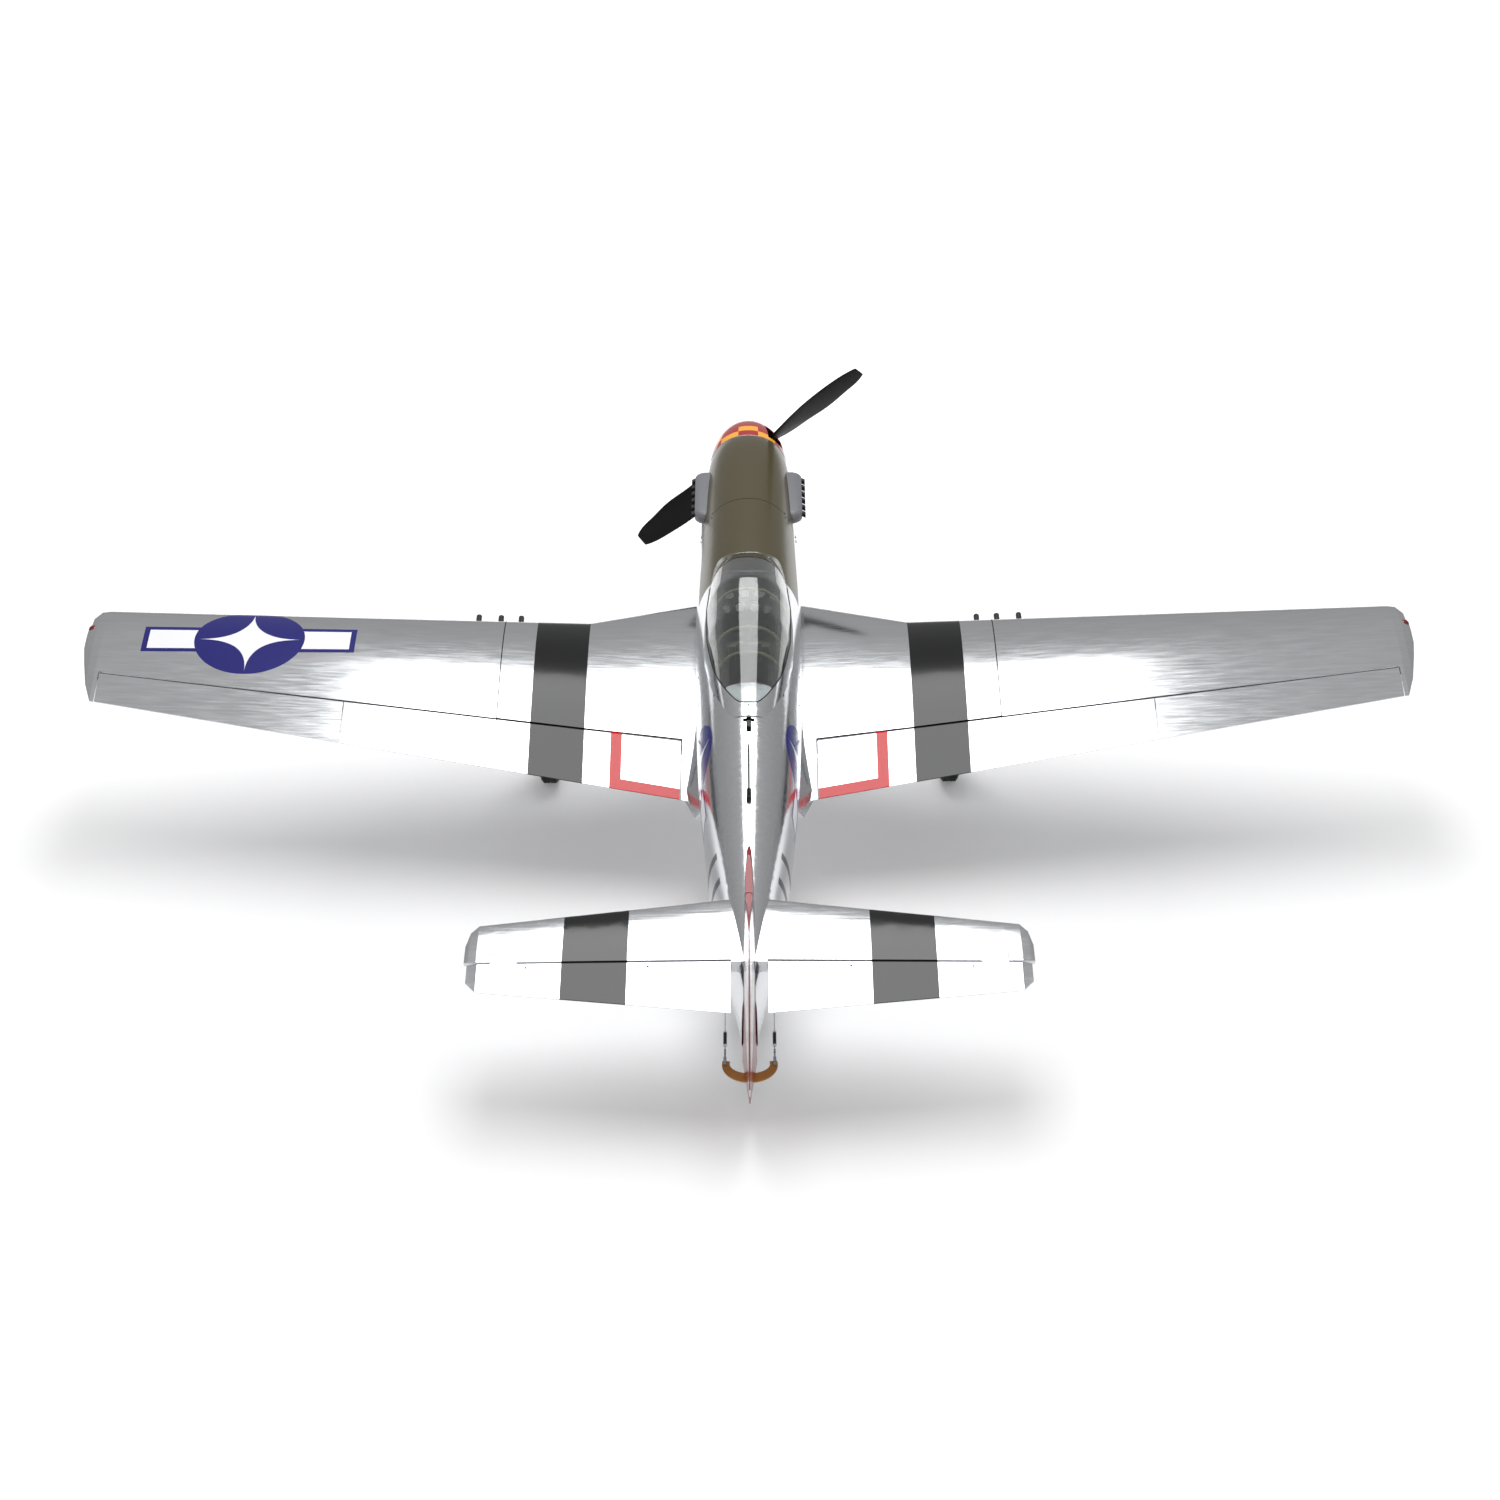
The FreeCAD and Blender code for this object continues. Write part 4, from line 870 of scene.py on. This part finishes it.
def linkArm(bm, start, end, width, narrow, thick):
    # a forked torque link, wide at its hinge and narrow at the knee
    start, end = Vector(start), Vector(end)
    along = crossAxes(end - start)[0]
    across = Vector((1, 0, 0))
    normal = along.cross(across).normalized()
    length = (end - start).length
    waist = 0.7 * width + 0.3 * narrow
    rings = []
    for share, w in ((0.0, width), (0.12, width), (0.55, waist), (0.9, narrow), (1.0, narrow)):
        point = start + along * length * share
        rings.append([point + across * sx * w / 2.0 + normal * sn * thick / 2.0
                      for sx, sn in ((-1, -1), (1, -1), (1, 1), (-1, 1))])
    sweep(bm, rings)
    for spot, reach, eye, pin in ((start, width, 2.6, 1.5), (end, narrow, 2.4, 1.2)):
        profile = [(0, pin), (0.2, eye), (reach + 1.8, eye), (reach + 2.0, pin)]
        lathe(bm, spot - across * (reach / 2.0 + 1.0), across, profile, 16)


def makeLegs():
    # collars, torque links and brake hose, laid out along each leg from its fold pin
    sizes = legSizes
    bore = sizes["bore"]
    width, knee, thick = sizes["linkWidth"], sizes["kneeWidth"], sizes["linkThickness"]
    for side, sign in (("left", -1.0), ("right", 1.0)):
        pivot = Vector(joints["gear_" + side + "_fold"]["pos_m"])
        up = Vector(joints["oleo_" + side + "_slide"]["axis"]).normalized()
        across = Vector((1, 0, 0))
        ahead = up.cross(across).normalized()
        turn = Matrix((across, ahead, up)).transposed().to_4x4()
        place = Matrix.Translation(pivot) @ turn @ Matrix.Scale(0.001, 4)
        leg = bmesh.new()
        for low, high in sizes["collars"]:
            rim = sizes["collar"]
            height = high - low
            profile = [(0, bore), (0, rim - 0.8), (0.8, rim), (height - 0.8, rim), (height, rim - 0.8),
                       (height, bore)]
            lathe(leg, (0, 0, low), (0, 0, 1), profile, 40, closed=True)
        back = -12.0 - sizes["linkReach"]
        linkArm(leg, (0, -12.0, -118.0), (0, back, -132.0), width + 3, knee, thick)
        bring("legCollars_" + side, leg, "castAlloy", "leg_body_" + side,
              place=place, bevel=0.3)
        lower = bmesh.new()
        linkArm(lower, (0, -7.0, -157.0), (0, back, -135.0), width, knee, thick)
        profile = [(0, 7.02), (0, 8.6), (0.8, 9.4), (7.2, 9.4), (8, 8.6), (8, 7.02)]
        lathe(lower, (0, 0, -158.0), (0, 0, 1), profile, 36, closed=True)
        bring("oleoLink_" + side, lower, "castAlloy", "oleo_body_" + side,
              place=place, bevel=0.3)
        hose = bmesh.new()
        x = sign * -sizes["hoseOut"]
        path = [(x, 3.0, -22.0), (x * 1.05, 4.0, -45.0), (x, 5.0, -80.0), (x * 0.98, 5.0, -106.0),
                (x * 1.1, 3.0, -121.0)]
        tube(hose, path, sizes["hoseRadius"], 10)
        clip = sizes["clipRadius"]
        for z in sizes["clips"]:
            ring = [(0, bore), (0, clip), (2.4, clip), (2.4, bore)]
            lathe(hose, (0, 0, z), (0, 0, 1), ring, 32, closed=True)
        bring("brakeHose_" + side, hose, "blackPlastic", "leg_body_" + side, place=place)


cockpitSizes = {
    "formerInset": 6.0,      # a former stands just inside the skin
    "panelY": -640.0,
    "dials": ((-34, 62, 11), (-8, 66, 12), (20, 66, 12), (44, 58, 8),      # x, height, radius
              (-40, 36, 8), (-16, 38, 10), (10, 38, 10), (34, 34, 8)),
    "hoops": (-800.0, -893.0, -945.0),
    "hoopRadius": 2.3,
    "hoopInset": 5.5,        # hoop's centre line under the outside of the glass
    "railHeight": 104.0,
    "consoleX": 61.0,
    "switches": 5,
    "switchPitch": 38.0,
    "formers": 6,
    "formerPitch": 55.0,
    "formerHeights": (-12, 4, 20, 34, 46),
    "railRadius": 2.6,
    "backRolls": 4,          # sewn rolls up the seat's back
    "rollPitch": 18.0,
    "beltX": 17.0,
    "beltWidth": 10.0,
    "beltThickness": 0.8,
}


canopySizes = {
    "rows": ((-700, 70, 180), (-770, 75, 190), (-860, 74, 184),       # y, half width, top
             (-950, 64, 160), (-1015, 54, 137), (-1077, 46, 124)),
    "sill": 60.0,
    "sideFullness": 0.8,     # under 1 the arch stands squarer than an ellipse
    "topFullness": 0.85,
    "front": -700.8,
    "back": -1076.0,
    "glassEnd": -1052.0,
    "bendFrom": -900.0,
    "bendPower": 2.6,
    "glassSill": 116.0,
    "glassThickness": 1.5,
    "skirtThickness": 2.0,
    "gasket": 0.9,
    "steps": 64,
}


def canopyAt(y):
    rows = canopySizes["rows"]
    for (y0, half0, top0), (y1, half1, top1) in zip(rows, rows[1:]):
        if y1 <= y <= y0:
            share = (y0 - y) / (y0 - y1)
            return half0 + (half1 - half0) * share, top0 + (top1 - top0) * share
    return rows[-1][1:]


def archPoint(y, angle, inset):
    # a point of the canopy's arch, counted from its right sill
    sizes = canopySizes
    half, top = canopyAt(y)
    x = (half - inset) * math.copysign(abs(math.cos(angle)) ** sizes["sideFullness"], math.cos(angle))
    rise = (top - inset - sizes["sill"]) * math.sin(angle) ** sizes["topFullness"]
    return Vector((x, y, sizes["sill"] + rise))


def archAngle(y, height):
    sizes = canopySizes
    top = canopyAt(y)[1]
    share = min(max((height - sizes["sill"]) / (top - sizes["sill"]), 0.0), 1.0)
    return math.asin(min(share ** (1.0 / sizes["topFullness"]), 1.0))


def glassEdge(y):
    # angle where the glass meets the metal: level along the side, closing in a round end
    sizes = canopySizes
    level = archAngle(y, sizes["glassSill"])
    share = (sizes["bendFrom"] - y) / (sizes["bendFrom"] - sizes["glassEnd"])
    if share <= 0.0:
        return level
    if share >= 1.0:
        return math.pi / 2.0
    closing = 1.0 - math.sqrt(1.0 - share ** sizes["bendPower"])
    return level + (math.pi / 2.0 - level) * closing


def skirtFoot(y, edge):
    # lowest angle at which the arch still stands clear of the fuselage
    angle = 0.02
    while angle < edge:
        spot = archPoint(y, angle, 0.0)
        hit = surfaceSpot("fuselage_shell", spot + Vector((0, 0, 80.0)), Vector((0, 0, -1)))
        if hit is None or hit[0].z < spot.z - 0.4:
            return angle
        angle += 0.01
    return edge


def shellStrip(bm, rows, thickness):
    # a curved sheet of the canopy's surface between two angles in each row
    outer = []
    inner = []
    count = 40
    for y, start, stop in rows:
        angles = [start + (stop - start) * k / count for k in range(count + 1)]
        outer.append([bm.verts.new(archPoint(y, a, 0.0)) for a in angles])
        inner.append([bm.verts.new(archPoint(y, a, thickness)) for a in angles])
    for sheet in (outer, inner):
        for a, b in zip(sheet, sheet[1:]):
            for k in range(count):
                bm.faces.new((a[k], a[k + 1], b[k + 1], b[k]))
    for k in range(count):
        for a, b in ((outer[0], inner[0]), (outer[-1], inner[-1])):
            bm.faces.new((a[k], a[k + 1], b[k + 1], b[k]))
    for r in range(len(rows) - 1):
        for k in (0, count):
            bm.faces.new((outer[r][k], outer[r + 1][k], inner[r + 1][k], inner[r][k]))


def makeCanopy():
    sizes = canopySizes
    step = (sizes["front"] - sizes["back"]) / sizes["steps"]
    ys = [sizes["front"] - step * k for k in range(sizes["steps"] + 1)]
    bubble = bmesh.new()
    glassRows = [(y, glassEdge(y), math.pi - glassEdge(y)) for y in ys if y > sizes["glassEnd"] + 2.0]
    shellStrip(bubble, glassRows, sizes["glassThickness"])
    bring("canopyBubble", bubble, "acrylic", "canopy_body", ("canopy_glass",))
    skirt = bmesh.new()
    feet = [skirtFoot(y, glassEdge(y)) for y in ys]
    right = []
    left = []
    for k, y in enumerate(ys):
        near = sorted(feet[max(k - 2, 0):k + 3])
        foot = near[len(near) // 2]      # the middle one of its neighbours, so the hem has no spikes
        edge = glassEdge(y)
        if foot < edge:
            right.append((y, foot, edge))
            left.append((y, math.pi - edge, math.pi - foot))
    shellStrip(skirt, right, sizes["skirtThickness"])
    shellStrip(skirt, left, sizes["skirtThickness"])
    bring("canopySkirt", skirt, "silver", "canopy_body", ("canopy_frame",))
    seal = bmesh.new()
    line = [archPoint(y, glassEdge(y), -0.2) for y in ys if y > sizes["glassEnd"]]
    line += [archPoint(y, math.pi - glassEdge(y), -0.2) for y in ys[::-1] if y > sizes["glassEnd"]]
    tube(seal, line, sizes["gasket"], 8)
    bring("canopyGasket", seal, "rubber", "canopy_body")


def makeDials():
    sizes = cockpitSizes
    bezels = bmesh.new()
    faces = bmesh.new()
    for x, z, r in sizes["dials"]:
        at = (x, sizes["panelY"] - 0.2, z)
        ring = [(0, 0.78 * r), (0, r), (1.6, r), (2.6, 0.92 * r), (2.6, 0.8 * r), (0.6, 0.78 * r)]
        lathe(bezels, at, (0, -1, 0), ring, 28, closed=True)
        lathe(faces, at, (0, -1, 0), [(0, 0.5 * r), (0, 0.8 * r), (0.5, 0.8 * r), (0.5, 0.1 * r)], 24)
        y = sizes["panelY"] - 1.3
        tube(faces, [(x, y, z), (x + 0.3 * r, y, z + 0.5 * r)], [0.5, 0.3], 6)
    bring("dialBezels", bezels, "panel", "airframe")
    bring("dialFaces", faces, "paleNylon", "airframe")


def makeSeat():
    sizes = cockpitSizes
    cushions = bmesh.new()
    pad(cushions, (0, -815.0, 19.0), (60.0, 64.0, 9.0), 10.0, 0.12, 6)
    for k in range(sizes["backRolls"]):
        rings = []
        z = 32.0 + sizes["rollPitch"] * k
        for out, shrink in ((0.0, 0.0), (4.0, 0.5), (6.5, 3.0), (7.4, 7.0)):
            outline = roundedRing(58.0 - 2 * shrink, 16.5 - 2 * shrink * 0.7, 5.0)
            rings.append([Vector((u, -850.0 + out, z + v)) for u, v in outline])
        sweep(cushions, rings)
    bring("seatCushions", cushions, "leather", "airframe")
    belts = bmesh.new()
    half = Vector((sizes["beltWidth"] / 2.0, 0, 0))
    for x in (-sizes["beltX"], sizes["beltX"]):
        path = [(x * 0.7, -858, 106), (x * 0.8, -847, 108), (x, -841.5, 98), (x, -841.3, 60),
                (x * 1.1, -840, 34), (x * 1.2, -820, 30.5), (x * 1.5, -795, 30)]
        for a, b in zip(path, path[1:]):
            start, end = Vector(a), Vector(b)
            corners = [start - half, start + half, end + half, end - half]
            rise = (end - start).cross(half).normalized() * sizes["beltThickness"]
            sweep(belts, [corners, [corner + rise for corner in corners]])
    bring("seatBelts", belts, "webbing", "airframe", bevel=0.2)


def makeCockpit():
    # side consoles with switches, skin formers, coaming roll, headrest and stick
    sizes = cockpitSizes
    trim = bmesh.new()
    for side in (1.0, -1.0):
        x = side * sizes["consoleX"]
        pad(trim, (x, -780.0, -17.0), (26.0, 250.0, 52.0), 6.0)
        for k in range(sizes["switches"]):
            pad(trim, (x, -690.0 - sizes["switchPitch"] * k, 34.0), (14.0, 16.0, 4.0), 2.0)
        for k in range(sizes["formers"]):
            y = -660.0 - sizes["formerPitch"] * k
            path = []
            for z in sizes["formerHeights"]:
                spot = surfaceSpot("fuselage_shell", Vector((side * 220, y, z)), Vector((-side, 0, 0)))
                if spot:
                    path.append(spot[0] - spot[1] * sizes["formerInset"])
            if len(path) > 2:
                tube(trim, path, sizes["railRadius"], 8)
    pad(trim, (0, -634.0, 98.0), (92.0, 14.0, 5.0), 4.0)
    pad(trim, (0, -868.0, 84.0), (46.0, 9.0, 34.0), 6.0, 0.05)
    stick = [(0, 13), (5, 12), (9, 6), (12, 3.2), (56, 2.6), (60, 4.4), (76, 4.8), (80, 3)]
    lathe(trim, (0, -735.0, -17.0), (0, 0, 1), stick, 20)
    bring("cockpitTrim", trim, "cockpit", "airframe", bevel=0.4)


def makeHoops():
    # bent tubes inside the glass, and a rail along each side of it
    sizes = cockpitSizes
    hoops = bmesh.new()
    for y in sizes["hoops"]:
        foot = skirtFoot(y, glassEdge(y)) + 0.05
        angles = [foot + (math.pi - 2.0 * foot) * i / 24 for i in range(25)]
        tube(hoops, [archPoint(y, a, sizes["hoopInset"]) for a in angles], sizes["hoopRadius"], 10)
    for side in (1.0, -1.0):
        rail = [archPoint(y, archAngle(y, sizes["railHeight"]), 4.8) for y in range(-715, -946, -20)]
        tube(hoops, [Vector((side * p.x, p.y, p.z)) for p in rail], sizes["railRadius"], 10)
    bring("canopyHoops", hoops, "hoopPaint", "canopy_body")


trimSizes = {
    "cowlScrewY": -393.0,
    "cowlJoint": 15.0,           # from the cowl's screws to the shell's
    "cowlAngles": (18, 50, 130, 162, 205, 240, 300, 335),
    "screwRadius": 2.3,
    "sideScrews": (-840.0, -920.0),
    "sideScrewZ": 30.0,
    "sideScrewRadius": 1.7,
    "grilleY": -882.0,
    "grillePitch": 7.0,
    "grilleBars": 6,
    "barRadius": 0.9,
    "ductTop": -152.0,           # the intake is a half ellipse below this height
    "ductHalf": 50.0,
    "hingeY": -1646.0,
    "hingeDots": (150.0, 330.0),
}


def makeScrews():
    sizes = trimSizes
    screws = bmesh.new()
    seam = sizes["cowlScrewY"]
    for y, node in ((seam, "cowl"), (seam - sizes["cowlJoint"], "fuselage_shell")):
        for degrees in sizes["cowlAngles"]:
            a = math.radians(degrees)
            out = Vector((math.cos(a), 0, math.sin(a)))
            spot = surfaceSpot(node, Vector((0, y, -8)) + out * 220.0, -out)
            if spot:
                screwHead(screws, *spot, sizes["screwRadius"])
    for side in (1.0, -1.0):
        for y in sizes["sideScrews"]:
            start = Vector((side * 220, y, sizes["sideScrewZ"]))
            spot = surfaceSpot("fuselage_shell", start, Vector((-side, 0, 0)))
            if spot:
                screwHead(screws, *spot, sizes["sideScrewRadius"])
    bring("panelScrews", screws, "steel", "airframe")


def makeTrim():
    # the scoop's wire grille and the elevators' hinge pins
    sizes = trimSizes
    half = sizes["ductHalf"]
    grille = bmesh.new()
    y = sizes["grilleY"]
    steps = int((half - 3.0) / sizes["grillePitch"])
    for i in range(-steps, steps + 1):
        x = i * sizes["grillePitch"]
        low = sizes["ductTop"] - 48.0 * math.sqrt(max(1.0 - (x / half) ** 2, 0.0)) + 2.0
        tube(grille, [(x, y, sizes["ductTop"] - 2.0), (x, y, low)], sizes["barRadius"], 8)
    for k in range(1, sizes["grilleBars"] + 1):
        z = sizes["ductTop"] - 1.0 - k * sizes["grillePitch"]
        wide = 49.0 * math.sqrt(max(1.0 - ((z - sizes["ductTop"]) / half) ** 2, 0.0)) - 2.0
        if wide > 6.0:
            tube(grille, [(-wide, y - 2.0, z), (wide, y - 2.0, z)], sizes["barRadius"], 8)
    bring("scoopGrille", grille, "panel", "airframe")
    for side, sign in (("left", -1.0), ("right", 1.0)):
        dots = bmesh.new()
        for x in sizes["hingeDots"]:
            start = Vector((sign * x, sizes["hingeY"], 200.0))
            spot = surfaceSpot("elevator_" + side, start, Vector((0, 0, -1)))
            if spot:
                lathe(dots, *spot, [(-0.6, 1.9), (0.2, 1.9), (0.45, 1.3)], 14)
        bring("hingePins_" + side, dots, "blackPlastic", "elevator_body_" + side)


coverSizes = {
    "size": (54.0, 46.0),
    "corner": 6.0,
    "lift": 0.7,
    "chamfer": 0.98,             # the top's share of the plate's size
    "screwAt": (21.0, 17.0),
    "screwRadius": 1.9,
    "spots": (("wing_center", 330.0, -740.0), ("wing_panel", 640.0, -745.0), ("wing_panel", 880.0, -735.0)),
}


def lowerSkin(node, x, y):
    return surfaceSpot(node, Vector((x, y, -300)), Vector((0, 0, 1)))


def makeServoCovers():
    # thin ply hatches under silver film, let into the lower skin, each held by four screws
    sizes = coverSizes
    lift = sizes["lift"]
    plates = bmesh.new()
    screws = bmesh.new()
    outline = roundedRing(*sizes["size"], sizes["corner"])
    for side, sign in (("left", -1.0), ("right", 1.0)):
        for part, cx, cy in sizes["spots"]:
            node = part if part == "wing_center" else part + "_" + side
            loops = []
            for share, height in ((1.0, -0.6), (1.0, lift), (sizes["chamfer"], lift + 0.25)):
                spots = [lowerSkin(node, sign * (cx + u * share), cy + v * share) for u, v in outline]
                loops.append([spot[0] + spot[1] * height for spot in spots if spot])
            if all(len(loop) == len(outline) for loop in loops):
                sweep(plates, loops)
            for u in (-sizes["screwAt"][0], sizes["screwAt"][0]):
                for v in (-sizes["screwAt"][1], sizes["screwAt"][1]):
                    spot = lowerSkin(node, sign * (cx + u), cy + v)
                    if spot:
                        screwHead(screws, spot[0] + spot[1] * lift, spot[1], sizes["screwRadius"])
    bring("servoHatches", plates, "silver", "airframe")
    bring("hatchScrews", screws, "steel", "airframe")


makeExhausts()
makeRudderHorn()
makePullCables()
print("scene: exhausts, horn and cables")
makeWheels()
makeLegs()
print("scene: wheels and legs")
makeCanopy()
makeDials()
makeCockpit()
makeSeat()
makeHoops()
makeScrews()
makeTrim()
makeServoCovers()
print("scene: cockpit and small fittings")


studio = {
    "floorSize": 40.0,               # half its side, metres
    "domeRadius": 36.0,
    "domeGlow": 1.0,
    "floor": "#e4e4e5",
    "floorPaintedGlow": (0.19, 0.85),       # painted glow of the floor, which is no lamp: dim under the aircraft as painted shade, bright far from it as painted light
    "paintedGlowReach": (0.7, 3.0),         # metres
    "ambient": (0.34, 0.5),          # at the horizon and straight up
    "softbox": (1.5, 3.5),           # metres across and along
    "softboxPlace": (0.0, 0.3, 3.05),
    "softboxLevel": 4.8,             # brightness of its face
}


def makeFloor():
    size = studio["floorSize"]
    mesh = bpy.data.meshes.new("studioFloor")
    corners = [(-size, -size, 0), (size, -size, 0), (size, size, 0), (-size, size, 0)]
    mesh.from_pydata(corners, [], [(0, 1, 2, 3)])
    floor = bpy.data.objects.new("studioFloor", mesh)
    bpy.context.scene.collection.objects.link(floor)
    # pale floor that glows though it is no lamp: painted light, weakest under the aircraft to deepen its
    # shadow as painted shade, strongest far from it
    material, tree = newMaterial("paleFloorPaintedGlow")
    place = add(tree, "TexCoord", out=3)
    distance = add(tree, "VectorMath", place, operation="LENGTH", out=1)
    glow = add(tree, "MapRange", distance, *studio["paintedGlowReach"], *studio["floorPaintedGlow"])
    finish = {"color": hexColor(studio["floor"]), "metallic": 0.0, "roughness": 0.9}
    closeMaterial(tree, finish, **{"Emission Color": hexColor("#ffffff"), "Emission Strength": glow})
    mesh.materials.append(material)


def makeBackdrop():
    # a white dome that only the camera and the clear plastic see, so it adds no light
    bm = bmesh.new()
    reach = studio["domeRadius"]
    steps = [math.pi / 2.0 * k / 16 for k in range(16)]
    lathe(bm, (0, 0, -1.0), (0, 0, 1), [(reach * math.sin(a), reach * math.cos(a)) for a in steps], 64)
    mesh = bpy.data.meshes.new("studioBackdrop")
    bm.to_mesh(mesh)
    bm.free()
    dome = bpy.data.objects.new("studioBackdrop", mesh)
    bpy.context.scene.collection.objects.link(dome)
    material, tree = newMaterial("backlitCloth")
    glow = add(tree, "Emission", hexColor("#ffffff"), studio["domeGlow"])
    output = tree.nodes.new("ShaderNodeOutputMaterial")
    tree.links.new(glow, output.inputs[0])
    mesh.materials.append(material)
    dome.visible_diffuse = dome.visible_glossy = dome.visible_shadow = False


def makeLights():
    world = bpy.data.worlds.new("softStudio")
    world.use_nodes = True
    tree = world.node_tree
    tree.nodes.clear()
    direction = add(tree, "TexCoord")
    up = add(tree, "SeparateXYZ", direction, out=2)
    level = add(tree, "MapRange", up, 0.0, 1.0, *studio["ambient"])
    sky = add(tree, "Background", (1.0, 1.0, 1.0, 1.0), level)
    output = tree.nodes.new("ShaderNodeOutputWorld")
    tree.links.new(sky, output.inputs[0])
    bpy.context.scene.world = world
    width, length = studio["softbox"]
    key = bpy.data.lights.new("overheadSoftbox", "AREA")
    key.shape = "RECTANGLE"
    key.size = width
    key.size_y = length
    key.energy = studio["softboxLevel"] * math.pi * width * length
    lamp = bpy.data.objects.new("overheadSoftbox", key)
    bpy.context.scene.collection.objects.link(lamp)
    lamp.location = studio["softboxPlace"]


cameraPlace = {
    "position": (8.27, -5371.5, 3265.2),      # mm in the aircraft's axes
    "forward": (-0.00123, 0.80096, -0.59871),
    "up": (0.00432, 0.59871, 0.80095),
    "focal": 3315.3,                          # in widths of 1/1500 of the picture
}


def makeCamera():
    data = bpy.data.cameras.new("studioCamera")
    data.sensor_width = 36.0
    data.lens = cameraPlace["focal"] / 1500.0 * 36.0
    camera = bpy.data.objects.new("studioCamera", data)
    bpy.context.scene.collection.objects.link(camera)
    turn = Matrix.Rotation(groundAngle, 3, "X")
    forward = turn @ Vector(cameraPlace["forward"])
    up = turn @ Vector(cameraPlace["up"])
    right = forward.cross(up).normalized()
    up = right.cross(forward).normalized()
    matrix = Matrix((right, up, -forward)).transposed().to_4x4()
    matrix.translation = airToRow @ Vector(cameraPlace["position"])
    camera.matrix_world = matrix
    data.clip_end = 200.0
    bpy.context.scene.camera = camera


makeFloor()
makeBackdrop()
makeLights()
makeCamera()
bpy.context.scene.view_settings.view_transform = "Standard"
print("scene: studio ready")
